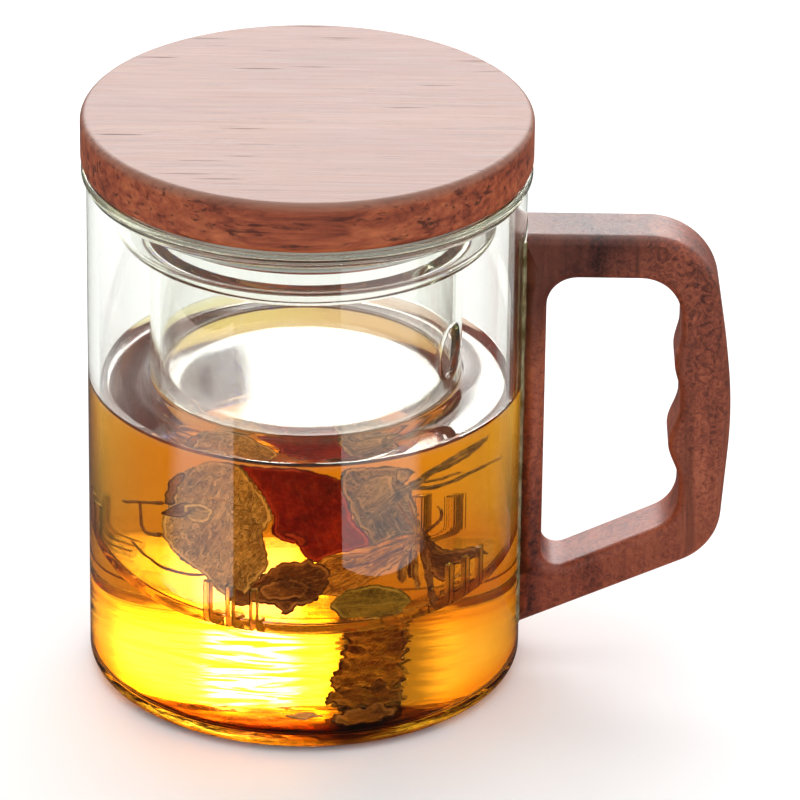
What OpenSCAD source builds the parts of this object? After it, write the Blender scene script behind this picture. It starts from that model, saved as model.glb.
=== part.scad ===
// Straight-sided glass tea mug with a glued wooden handle, a lift-out glass
// infuser that hangs by its flange on the rim, and a lift-off wooden lid whose
// sealing ring plugs the infuser's collar. Millimetres, +Z up. The origin is
// the centre of the mug's foot, on the surface it stands on. The handle is
// on +X.

/* [Mug] */
// Outside diameter of the mug
mug_d = 85; // [83.5:0.1:87]
// Height of the mug's rim above the table
mug_h = 104; // [100:0.5:120]
// Thickness of the mug's wall
mug_wall = 2.2; // [1.6:0.1:2.4]
// Thickness of the mug's floor
mug_floor = 2.4; // [2:0.1:6]
// Radius of the outside corner round the foot
foot_r = 3.2; // [2:0.1:4.5]
// Radius of the inside corner round the floor
well_r = 2.4; // [1.5:0.1:5]

/* [Infuser] */
// Outside diameter of the flange that rests on the rim
flange_d = 87; // [85.8:0.1:87.4]
// Thickness of the flange
flange_t = 1.8; // [1.6:0.1:2.2]
// Gap between the rim and the flange
seat_gap = 0.2; // [0.1:0.05:0.3]
// Outside diameter of the collar under the flange
collar_d = 73.6; // [73.2:0.1:75]
// Depth of the collar below the rim
collar_h = 11.6; // [10.4:0.1:12.4]
// Thickness of the collar's wall
collar_wall = 2; // [1.9:0.05:2.1]
// Outside diameter of the brewing tube
tube_d = 60.6; // [56:0.2:62]
// Height of the tube's closed end above the table
tube_z = 20.4; // [16:0.2:26]
// Thickness of the tube's wall
tube_wall = 1.8; // [1.4:0.1:2.2]
// Outside corner radius round the tube's closed end
tube_r = 2.6; // [2:0.1:3.5]
// Diameter of the vent hole in the tube's side
vent_d = 10; // [7:0.5:12]
// Height of the vent hole's centre
vent_z = 71.6; // [60:0.2:80]
// Direction of the vent hole, degrees from -Y towards +X
vent_a = 69; // [55:1:80]

/* [Strainer slots] */
// Number of groups of saw cuts round the tube's bottom corner
slot_groups = 4; // [3:1:5]
// Cuts in each group
slots_each = 3; // [2:1:4]
// Angle between neighbouring cuts in a group, degrees
slot_step = 8.5; // [6:0.5:10]
// Direction of the first group's middle cut, degrees from -Y towards +X
slot_a = -25; // [-30:1:-15]
// Width of a cut
slot_w = 1; // [0.8:0.1:1.4]
// Height of a cut above the tube's closed end
slot_h = 9.5; // [7:0.5:12]
// How far a cut runs in across the tube's floor, from the outside
slot_in = 6; // [4.5:0.1:8]

/* [Lid] */
// Diameter of the lid's disc
lid_d = 87.2; // [87:0.1:89]
// Thickness of the lid's disc
lid_t = 10.4; // [9:0.1:12]
// Gap between the flange and the lid's disc
lid_gap = 0.2; // [0.1:0.05:0.3]
// Rounding of the disc's top edge
lid_top_r = 1.5; // [0.8:0.1:1.8]
// Rounding of the disc's lower edge
lid_low_r = 2; // [1.4:0.1:2.6]
// Diameter of the turned plug under the disc
plug_d = 63.6; // [62:0.1:64]
// Depth of the plug below the disc
plug_h = 8.8; // [8.6:0.1:9]

/* [Handle] */
// Thickness of the handle across the mug, along Y
handle_w = 13; // [10:0.1:14]
// Height of the handle's top edge above the table
handle_top = 93.7; // [92:0.1:95]
// Distance from the mug's axis to the handle's outermost point
reach = 82.8; // [81:0.1:85]
// Chamfer along the handle's outer edges
handle_c = 1; // [0.5:0.1:1.4]
// Height of the upper finger ridge
ridge1 = 1.15; // [0.8:0.05:1.6]
// Height of the lower finger ridge
ridge2 = 2.15; // [1.4:0.05:2.4]
// Thickness of the clear bond between glass and handle
bond_t = 0.25; // [0.2:0.05:0.4]

/* [Hidden] */
$fn = 96;

mug_r = mug_d / 2;
bore_r = mug_r - mug_wall;
flange_z = mug_h + seat_gap;
flange_top = flange_z + flange_t;
collar_r = collar_d / 2;
collar_in = collar_r - collar_wall;
collar_z = mug_h - collar_h;
tube_ro = tube_d / 2;
tube_ri = tube_ro - tube_wall;
lid_z = flange_top + lid_gap;
lid_top = lid_z + lid_t;
lid_r = lid_d / 2;
plug_r = plug_d / 2;
plug_z = lid_z - plug_h;

// The sealing ring and the groove turned for it in the plug
groove_r = plug_r - 1.7;
groove_z0 = plug_z + 1.2;
groove_z1 = lid_z - 0.8;
seal_play = 0.08;
seal_in = groove_r + seal_play;
seal_body = collar_in - 1.2;
seal_out = collar_in - 0.1;
seal_z0 = groove_z0 + 0.1;
seal_z1 = groove_z1 - 0.1;
fins = 3;
fin_t = 0.8;

// A quarter fillet, added in the corner at (x, y), that opens towards (sx, sy)
module fillet(x, y, r, sx, sy)
  translate([x, y]) difference() {
    translate([sx > 0 ? 0 : -r, sy > 0 ? 0 : -r]) square([r, r]);
    translate([sx * r, sy * r]) circle(r);
  }

// A rectangle from (x0, y0) to (x1, y1) whose outer corners are rounded:
// r0 at the lower right, r1 at the upper right
module slab(x0, y0, x1, y1, r0, r1)
  difference() {
    translate([x0, y0]) square([x1 - x0, y1 - y0]);
    if (r0 > 0) fillet(x1, y0, r0, -1, 1);
    if (r1 > 0) fillet(x1, y1, r1, -1, -1);
  }

// Mug: a straight tube with a flat floor and a fire-polished rim
module mug_glass()
  color([0.86, 0.93, 0.90, 0.35])
  rotate_extrude($fn = 144)
    difference() {
      slab(0, 0, mug_r, mug_h, foot_r, mug_wall * 0.45);
      difference() {
        translate([0, mug_floor]) square([bore_r, mug_h]);
        fillet(bore_r, mug_floor, well_r, -1, 1);
      }
      fillet(bore_r, mug_h, mug_wall * 0.45, 1, -1);
    }

// Half section of the infuser, without its cuts
module infuser_section() {
  neck_r = 2.4;      // outside fillet where the shelf meets the tube
  shelf_r = 3.4;     // outside corner under the collar
  difference() {
    union() {
      slab(0, tube_z, tube_ro, flange_top - 1, tube_r, 0);
      slab(0, collar_z, collar_r, flange_top - 1, shelf_r, 0);
      slab(0, flange_z, flange_d / 2, flange_top, flange_t * 0.48, flange_t * 0.48);
      fillet(tube_ro, collar_z, neck_r, 1, -1);
      fillet(collar_r, flange_z, 1.2, 1, -1);
    }
    // inside of the tube
    difference() {
      translate([0, tube_z + tube_wall + 0.2]) square([tube_ri, flange_top]);
      fillet(tube_ri, tube_z + tube_wall + 0.2, tube_r - 1, -1, 1);
    }
    // inside of the collar, with a rounded corner above the shelf
    difference() {
      translate([0, collar_z + collar_wall]) square([collar_in, flange_top]);
      fillet(collar_in, collar_z + collar_wall, 1.2, -1, 1);
    }
    // rounded lip where the shelf turns down into the tube, and a rounded mouth
    fillet(tube_ri, collar_z + collar_wall, 1.4, 1, -1);
    fillet(collar_in, flange_top, 0.8, 1, -1);
  }
}

// One L-shaped saw cut through the bottom corner, in direction a
module slot(a)
  rotate([0, 0, a - 90])
    translate([tube_ro - slot_in, -slot_w / 2, tube_z - 1])
      cube([slot_in + 1, slot_w, slot_h + 1]);

module infuser()
  color([0.86, 0.93, 0.90, 0.35])
  difference() {
    rotate_extrude($fn = 144) infuser_section();
    for (g = [0 : slot_groups - 1], s = [0 : slots_each - 1])
      slot(slot_a + g * 360 / slot_groups + (s - (slots_each - 1) / 2) * slot_step);
    rotate([0, 0, vent_a - 90]) translate([tube_ri - 4, 0, vent_z])
      rotate([0, 90, 0]) cylinder(h = 10, d = vent_d, $fn = 64);
  }

// Ribbed silicone ring held in the plug's groove
module lid_seal()
  color([0.90, 0.89, 0.85, 0.75])
  rotate_extrude($fn = 120)
    difference() {
      union() {
        translate([seal_in, seal_z0]) square([seal_body - seal_in, seal_z1 - seal_z0]);
        for (i = [0 : fins - 1])
          slab(seal_in, seal_z0 + 0.4 + i * (seal_z1 - seal_z0 - fin_t - 0.8) / (fins - 1),
               seal_out,
               seal_z0 + 0.4 + fin_t + i * (seal_z1 - seal_z0 - fin_t - 0.8) / (fins - 1),
               fin_t * 0.4, fin_t * 0.4);
      }
      fillet(seal_body, seal_z0, 0.3, -1, 1);
      fillet(seal_body, seal_z1, 0.3, -1, -1);
    }

// Turned lid: disc and plug in one piece of wood
module lid()
  color([0.50, 0.26, 0.18])
  rotate_extrude($fn = 144)
    difference() {
      union() {
        slab(0, lid_z, lid_r, lid_top, lid_low_r, lid_top_r);
        slab(0, plug_z, plug_r, lid_z + 1, 0.6, 0);
      }
      translate([groove_r, groove_z0]) square([8, groove_z1 - groove_z0]);
    }

// Handle: outline in the X-Z plane, drawn as (x, z)
bottom_slope = 23.7;           // rise of the lower edge, degrees
bottom_z = 9.5;                // where the lower edge meets the glass
heel = [reach - 13.5, 35];     // centre of the lower outside corner
heel_r = 12.3;
brow_r = 14;                   // upper outside corner
brow = [reach - 16.8, handle_top - brow_r];
back_r = 100;                  // gentle outward bow of the back

module handle_outline(inset = 0)
  offset(delta = -inset) hull() {
    translate(brow) circle(brow_r, $fn = 64);
    translate(heel) circle(heel_r, $fn = 64);
    intersection() {
      translate([reach - back_r, 55]) circle(back_r, $fn = 240);
      translate([60, 44]) square([40, 30]);
    }
    polygon([[30, handle_top], [30, bottom_z - (mug_r - 30) * tan(bottom_slope)],
             [34, handle_top], [34, bottom_z - (mug_r - 34) * tan(bottom_slope)]]);
  }

// A smooth ridge of height h and half-width w at height z0
function ridge(z, z0, w, h) = abs(z - z0) < w ? h * (1 + cos(180 * (z - z0) / w)) / 2 : 0;
// Face of the grip that the fingers close on
function grip(z) = 73.12 - (z - 37) / 80 - ridge(z, 66.4, 6.5, ridge1) - ridge(z, 49.1, 8, ridge2);

module finger_opening() {
  steps = 44;
  difference() {
    hull() {
      translate([52.5, handle_top - 15.1]) circle(6, $fn = 48);
      translate([64.6, handle_top - 17.1]) circle(8, $fn = 48);
      translate([65.4, 37.6]) circle(7.7, $fn = 48);
      translate([49.7, 25.4]) circle(3.2, $fn = 32);
    }
    polygon(concat([for (i = [0 : steps]) let (z = 39 + i * 36 / steps) [grip(z), z]],
                   [[90, 75], [90, 39]]));
  }
}

module handle()
  color([0.46, 0.22, 0.15])
  difference() {
    translate([0, handle_w / 2, 0]) rotate([90, 0, 0]) difference() {
      hull() {
        translate([0, 0, handle_c]) linear_extrude(handle_w - 2 * handle_c) handle_outline();
        linear_extrude(handle_w) handle_outline(handle_c);
      }
      translate([0, 0, -1]) linear_extrude(handle_w + 2) finger_opening();
    }
    cylinder(h = 130, r = mug_r + bond_t, $fn = 240);
  }

// Clear bond, a thin shell between the glass and the handle's hollow back
module handle_bond()
  color([0.93, 0.92, 0.84, 0.6])
  intersection() {
    difference() {
      cylinder(h = 130, r = mug_r + bond_t, $fn = 240);
      translate([0, 0, -1]) cylinder(h = 132, r = mug_r, $fn = 240);
    }
    translate([30, -handle_w / 2 - 0.3, bottom_z + 0.6])
      cube([20, handle_w + 0.6, handle_top - bottom_z - 1.4]);
  }

mug_glass();
handle();
handle_bond();
infuser();
lid_seal();
lid();
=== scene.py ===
"""Looks of the lidded tea mug: a straight glass mug with a glued wooden handle, a lift-out glass infuser and a wooden lid with a silicone seal.
All lengths in the helpers are millimetres; objects are made in metres in the CAD frame."""

import math
import random

import bpy
import bmesh
import numpy as np
from mathutils import Matrix, Vector
from mathutils import noise as mnoise
from mathutils.geometry import delaunay_2d_cdt


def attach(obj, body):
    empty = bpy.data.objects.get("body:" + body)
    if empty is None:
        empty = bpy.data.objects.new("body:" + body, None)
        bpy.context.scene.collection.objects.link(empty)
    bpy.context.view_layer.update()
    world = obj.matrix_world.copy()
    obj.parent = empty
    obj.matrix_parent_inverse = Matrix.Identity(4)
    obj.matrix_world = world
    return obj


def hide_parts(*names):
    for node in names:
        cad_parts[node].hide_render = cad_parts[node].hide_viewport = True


MM = 0.001
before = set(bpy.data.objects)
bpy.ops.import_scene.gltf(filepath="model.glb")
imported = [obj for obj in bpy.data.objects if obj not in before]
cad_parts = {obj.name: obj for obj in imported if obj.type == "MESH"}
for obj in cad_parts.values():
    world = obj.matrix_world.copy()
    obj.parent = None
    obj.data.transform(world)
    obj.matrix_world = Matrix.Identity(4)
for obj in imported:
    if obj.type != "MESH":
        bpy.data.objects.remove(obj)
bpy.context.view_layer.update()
scene = bpy.context.scene

# ------------------------------------------------------------------ sizes, mm
MUG_R, BORE_R, MUG_H, MUG_FLOOR = 42.5, 40.3, 104.0, 2.4
FOOT_R, WELL_R = 3.2, 2.4
TUBE_RO, TUBE_RI, TUBE_Z = 30.3, 28.5, 20.4
SHELF_Z, SHELF_T, COLLAR_RO, COLLAR_RI = 92.4, 2.0, 36.8, 34.8
FLANGE_R, FLANGE_Z, FLANGE_TOP = 43.5, 104.2, 106.0
LID_R, LID_Z, LID_TOP = 43.6, 106.2, 116.6
PLUG_R, PLUG_Z, GROOVE_R = 31.8, 97.4, 30.1
TEA_Z = 60.3


# ------------------------------------------------------------- section curves
def rounded(corners, closed=True):
    """Corners (r, z, radius, steps) in counterclockwise order become section points (r, z, normal r, normal z) with true arcs."""
    out, n = [], len(corners)
    for i, (x, z, rad, steps) in enumerate(corners):
        p = np.array([x, z], float)
        a = np.array(corners[i - 1][:2], float)
        b = np.array(corners[(i + 1) % n][:2], float)
        if not closed and (i == 0 or i == n - 1):
            out.append((x, z, 0.0, -1.0 if i == 0 else 1.0))
            continue
        d1, d2 = (p - a) / np.linalg.norm(p - a), (b - p) / np.linalg.norm(b - p)
        turn = math.atan2(d1[0] * d2[1] - d1[1] * d2[0], float(d1 @ d2))
        if rad <= 0 or abs(turn) < 1e-6:
            m = d1 + d2
            m = m / np.linalg.norm(m)
            out.append((x, z, m[1], -m[0]))
            continue
        s = 1.0 if turn > 0 else -1.0
        t = rad * math.tan(abs(turn) / 2)
        start = p - d1 * t
        left = np.array([-d1[1], d1[0]])
        c = start + left * rad * s
        for k in range(steps + 1):
            f = turn * k / steps
            d = np.array([d1[0] * math.cos(f) - d1[1] * math.sin(f), d1[0] * math.sin(f) + d1[1] * math.cos(f)])
            q = c - s * rad * np.array([-d[1], d[0]])
            out.append((q[0], q[1], d[1], -d[0]))
    return out


def lathe(name, section, seg=256, closed=True, start=0.0):
    """A solid of revolution round Z. A closed section is a ring; an open one begins and ends on the axis."""
    verts, norms, rings = [], [], []
    for r, z, nr, nz in section:
        if r < 1e-9:
            rings.append([len(verts)])
            verts.append((0, 0, z * MM))
            norms.append((0, 0, 1 if nz > 0 else -1))
        else:
            ring = []
            for j in range(seg):
                a = start + 2 * math.pi * j / seg
                ring.append(len(verts))
                verts.append((r * math.cos(a) * MM, r * math.sin(a) * MM, z * MM))
                norms.append((nr * math.cos(a), nr * math.sin(a), nz))
            rings.append(ring)
    faces = []
    pairs = list(zip(rings, rings[1:])) + ([(rings[-1], rings[0])] if closed else [])
    for lo, hi in pairs:
        for j in range(seg):
            k = (j + 1) % seg
            if len(lo) == 1 and len(hi) == 1:
                continue
            if len(lo) == 1:
                faces.append((lo[0], hi[k], hi[j]))
            elif len(hi) == 1:
                faces.append((lo[j], lo[k], hi[0]))
            else:
                faces.append((lo[j], lo[k], hi[k], hi[j]))
    me = bpy.data.meshes.new(name)
    me.from_pydata(verts, [], faces)
    me.polygons.foreach_set("use_smooth", [True] * len(me.polygons))
    me.update()
    me.normals_split_custom_set_from_vertices(norms)
    ob = bpy.data.objects.new(name, me)
    scene.collection.objects.link(ob)
    return ob


class Section:
    """Nearest exact normal on a revolved section, for meshes that were cut after turning."""

    def __init__(self, pts, closed):
        p = np.array([(a, b) for a, b, _, _ in pts])
        n = np.array([(c, d) for _, _, c, d in pts])
        if closed:
            p, n = np.vstack([p, p[:1]]), np.vstack([n, n[:1]])
        self.a, self.b, self.na, self.nb = p[:-1], p[1:], n[:-1], n[1:]
        self.d = self.b - self.a
        self.l2 = np.maximum((self.d**2).sum(1), 1e-12)

    def normal(self, x, y, z):
        r = math.hypot(x, y)
        q = np.array([r, z])
        t = np.clip(((q - self.a) * self.d).sum(1) / self.l2, 0, 1)
        e = ((self.a + self.d * t[:, None] - q) ** 2).sum(1)
        i = int(e.argmin())
        n = self.na[i] * (1 - t[i]) + self.nb[i] * t[i]
        n = n / max(np.linalg.norm(n), 1e-9)
        if r < 1e-6:
            return Vector((0, 0, 1 if n[1] > 0 else -1))
        return Vector((n[0] * x / r, n[0] * y / r, n[1]))


def cut(ob, cutters):
    """Exact boolean difference, applied to the mesh; faces made by a cutter keep the cutter's material."""
    for c in cutters:
        m = ob.modifiers.new("cut", "BOOLEAN")
        m.operation, m.solver, m.object = "DIFFERENCE", "EXACT", c
        m.material_mode = "TRANSFER"
    bpy.context.view_layer.update()
    dg = bpy.context.evaluated_depsgraph_get()
    me = bpy.data.meshes.new_from_object(ob.evaluated_get(dg), preserve_all_data_layers=True, depsgraph=dg)
    ob.modifiers.clear()
    old = ob.data
    ob.data = me
    me.name = ob.name
    bpy.data.meshes.remove(old)
    for c in cutters:
        mc = c.data
        bpy.data.objects.remove(c)
        bpy.data.meshes.remove(mc)
    return ob


def turned_normals(ob, rules):
    """Exact normals after a cut. rules maps a material index to a function (x, y, z in mm) -> normal, or None for flat faces."""
    me = ob.data
    me.polygons.foreach_set("use_smooth", [True] * len(me.polygons))
    co = np.array([v.co for v in me.vertices]) / MM
    normals = [Vector((0, 0, 1))] * len(me.loops)
    cache = {}
    for p in me.polygons:
        rule = rules.get(p.material_index)
        for li in p.loop_indices:
            vi = me.loops[li].vertex_index
            if rule is None:
                normals[li] = p.normal.copy()
            else:
                key = (p.material_index, vi)
                if key not in cache:
                    cache[key] = rule(*co[vi])
                n = cache[key]
                normals[li] = n if n is not None else p.normal.copy()
    me.normals_split_custom_set(normals)


def box_mesh(name, centre, half, angle):
    """A box cutter turned round Z, in mm; its long axis points along angle (radians)."""
    me = bpy.data.meshes.new(name)
    bm = bmesh.new()
    bmesh.ops.create_cube(bm, size=2)
    bm.transform(Matrix.Diagonal((half[0] * MM, half[1] * MM, half[2] * MM, 1)))
    bm.transform(Matrix.Translation(Vector(centre) * MM))
    bm.transform(Matrix.Rotation(angle, 4, "Z"))
    bm.to_mesh(me)
    bm.free()
    ob = bpy.data.objects.new(name, me)
    scene.collection.objects.link(ob)
    return ob


def join(obs, name):
    """Joins cutter meshes into one, without operators."""
    bm = bmesh.new()
    for o in obs:
        bm.from_mesh(o.data)
    me = bpy.data.meshes.new(name)
    for m in obs[0].data.materials:
        me.materials.append(m)
    bm.to_mesh(me)
    bm.free()
    for o in obs:
        mm = o.data
        bpy.data.objects.remove(o)
        bpy.data.meshes.remove(mm)
    ob = bpy.data.objects.new(name, me)
    scene.collection.objects.link(ob)
    return ob


# ------------------------------------------------------------------ materials
class Mat:
    """A small helper round a node tree."""

    def __init__(self, name):
        self.m = bpy.data.materials.new(name)
        self.m.use_nodes = True
        self.t = self.m.node_tree
        self.t.nodes.clear()
        self.out = self.n("ShaderNodeOutputMaterial")
        self.bsdf = self.n("ShaderNodeBsdfPrincipled")
        self.link(self.bsdf, "BSDF", self.out, "Surface")

    def n(self, kind, **sets):
        node = self.t.nodes.new(kind)
        for k, v in sets.items():
            setattr(node, k, v)
        return node

    def link(self, a, ao, b, bi):
        self.t.links.new(a.outputs[ao], b.inputs[bi])

    def coords(self, scale=(1, 1, 1), rot=(0, 0, 0), loc=(0, 0, 0)):
        tc = self.n("ShaderNodeTexCoord")
        mp = self.n("ShaderNodeMapping")
        mp.inputs["Scale"].default_value = scale
        mp.inputs["Rotation"].default_value = rot
        mp.inputs["Location"].default_value = loc
        self.link(tc, "Object", mp, "Vector")
        return mp

    def noise(self, src, scale, detail=4, rough=0.55, distortion=0.0):
        nz = self.n("ShaderNodeTexNoise")
        nz.inputs["Scale"].default_value = scale
        nz.inputs["Detail"].default_value = detail
        nz.inputs["Roughness"].default_value = rough
        nz.inputs["Distortion"].default_value = distortion
        self.link(src, "Vector" if "Vector" in src.outputs else 0, nz, "Vector")
        return nz

    def ramp(self, src, out, stops, interp="LINEAR"):
        r = self.n("ShaderNodeValToRGB")
        r.color_ramp.interpolation = interp
        e = r.color_ramp.elements
        while len(e) < len(stops):
            e.new(0.5)
        for el, (p, c) in zip(e, stops):
            el.position = p
            el.color = (*c, 1) if len(c) == 3 else c
        self.link(src, out, r, "Fac")
        return r

    def range(self, src, out, f0, f1, t0, t1):
        r = self.n("ShaderNodeMapRange")
        for k, v in (("From Min", f0), ("From Max", f1), ("To Min", t0), ("To Max", t1)):
            r.inputs[k].default_value = v
        self.link(src, out, r, "Value")
        return r

    def math(self, op, a, b=None, va=None, vb=None):
        m = self.n("ShaderNodeMath", operation=op)
        if a is not None:
            self.t.links.new(a, m.inputs[0])
        else:
            m.inputs[0].default_value = va
        if b is not None:
            self.t.links.new(b, m.inputs[1])
        elif vb is not None:
            m.inputs[1].default_value = vb
        return m

    def mix(self, fac, a, b, blend="MIX"):
        m = self.n("ShaderNodeMix", data_type="RGBA", blend_type=blend)
        if isinstance(fac, (int, float)):
            m.inputs[0].default_value = fac
        else:
            self.t.links.new(fac, m.inputs[0])
        for sock, v in ((m.inputs[6], a), (m.inputs[7], b)):
            if isinstance(v, tuple):
                sock.default_value = (*v, 1) if len(v) == 3 else v
            else:
                self.t.links.new(v, sock)
        return m

    def bump(self, height, strength, distance, after=None):
        b = self.n("ShaderNodeBump")
        b.inputs["Strength"].default_value = strength
        b.inputs["Distance"].default_value = distance
        self.t.links.new(height, b.inputs["Height"])
        if after is not None:
            self.link(after, "Normal", b, "Normal")
        return b

    def set(self, **values):
        for k, v in values.items():
            self.bsdf.inputs[k.replace("_", " ")].default_value = v


def lin(r, g, b):
    """sRGB 0-255 to linear."""
    f = lambda c: c / 12.92 if c <= 0.04045 else ((c + 0.055) / 1.055) ** 2.4
    return tuple(f(x / 255) for x in (r, g, b))


def glass(name, wet_r, wave=0.012, tint=(0.985, 0.995, 0.985), rough=0.0):
    """Clear borosilicate glass with a faint drawn waviness and an olive tint that only long paths show. Up to wet_r from the axis and to the tea's surface it is wet, where its faces all but stop mirroring."""
    k = Mat(name)
    k.set(Transmission_Weight=1.0, IOR=1.47, Roughness=rough)
    # faint smears of residue: a touch less clear in soft vertical patches
    src = k.coords(scale=(1, 1, 0.35))
    smear = k.noise(src, 55, 3, 0.5)
    col = k.ramp(smear, "Fac", [(0.3, tint), (0.75, tuple(c * 0.985 for c in tint))])
    k.link(col, "Color", k.bsdf, "Base Color")
    # drawn tube: long vertical waves a few tenths of a micron deep, and broad ripples
    w = k.noise(k.coords(scale=(1, 1, 0.12)), 70, 1, 0.4)
    tc = k.n("ShaderNodeTexCoord")
    sp = k.n("ShaderNodeSeparateXYZ")
    k.link(tc, "Object", sp, 0)
    # the pressed floor of a mug is wavy: rings and slow swells under the tea
    swell = k.noise(k.coords(scale=(0.45, 1, 1)), 130, 2, 0.5, 0.5)
    under = k.math("LESS_THAN", sp.outputs["Z"], None, vb=1.0 * MM)
    deep = k.math("MULTIPLY", swell.outputs["Fac"], None, vb=FLOOR_WAVE / wave)
    hgt = k.math("MULTIPLY_ADD", deep.outputs[0], under.outputs[0])
    k.link(w, "Fac", hgt, 2)
    bp = k.bump(hgt.outputs[0], wave, 0.002)
    k.link(bp, "Normal", k.bsdf, "Normal")
    rr = k.math("SQRT", k.math("ADD", k.math("MULTIPLY", sp.outputs["X"], sp.outputs["X"]).outputs[0], k.math("MULTIPLY", sp.outputs["Y"], sp.outputs["Y"]).outputs[0]).outputs[0])
    dry = k.math("GREATER_THAN", sp.outputs["Z"], None, vb=TEA_Z * MM)
    out_ = k.math("GREATER_THAN", rr.outputs[0], None, vb=wet_r * MM)
    low = k.math("LESS_THAN", sp.outputs["Z"], None, vb=1.2 * MM)
    lit = k.math("MAXIMUM", k.math("MAXIMUM", dry.outputs[0], out_.outputs[0]).outputs[0], low.outputs[0])
    k.t.links.new(lit.outputs[0], k.bsdf.inputs["Specular Tint"])
    va = k.n("ShaderNodeVolumeAbsorption")
    va.inputs["Color"].default_value = (0.86, 0.90, 0.45, 1)
    va.inputs["Density"].default_value = 14
    k.link(va, "Volume", k.out, "Volume")
    return k.m


def ground_glass():
    """Saw-cut faces of the strainer slots: frosted, and amber, which is painted tea-coloured light."""
    k = Mat("ground_glass_cuts")
    k.set(Transmission_Weight=0.96, IOR=1.47)
    src = k.coords()
    grit = k.noise(src, 2600, 5, 0.7)
    # painted light: amber where the tea's light would colour the frosted faces
    col = k.ramp(grit, "Fac", [(0.3, (0.88, 0.66, 0.34)), (0.7, (0.97, 0.82, 0.50))])
    k.link(col, "Color", k.bsdf, "Base Color")
    r = k.range(grit, "Fac", 0.3, 0.7, 0.36, 0.22)
    k.link(r, "Result", k.bsdf, "Roughness")
    bp = k.bump(grit.outputs["Fac"], 0.4, 0.0001)
    k.link(bp, "Normal", k.bsdf, "Normal")
    return k.m


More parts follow.
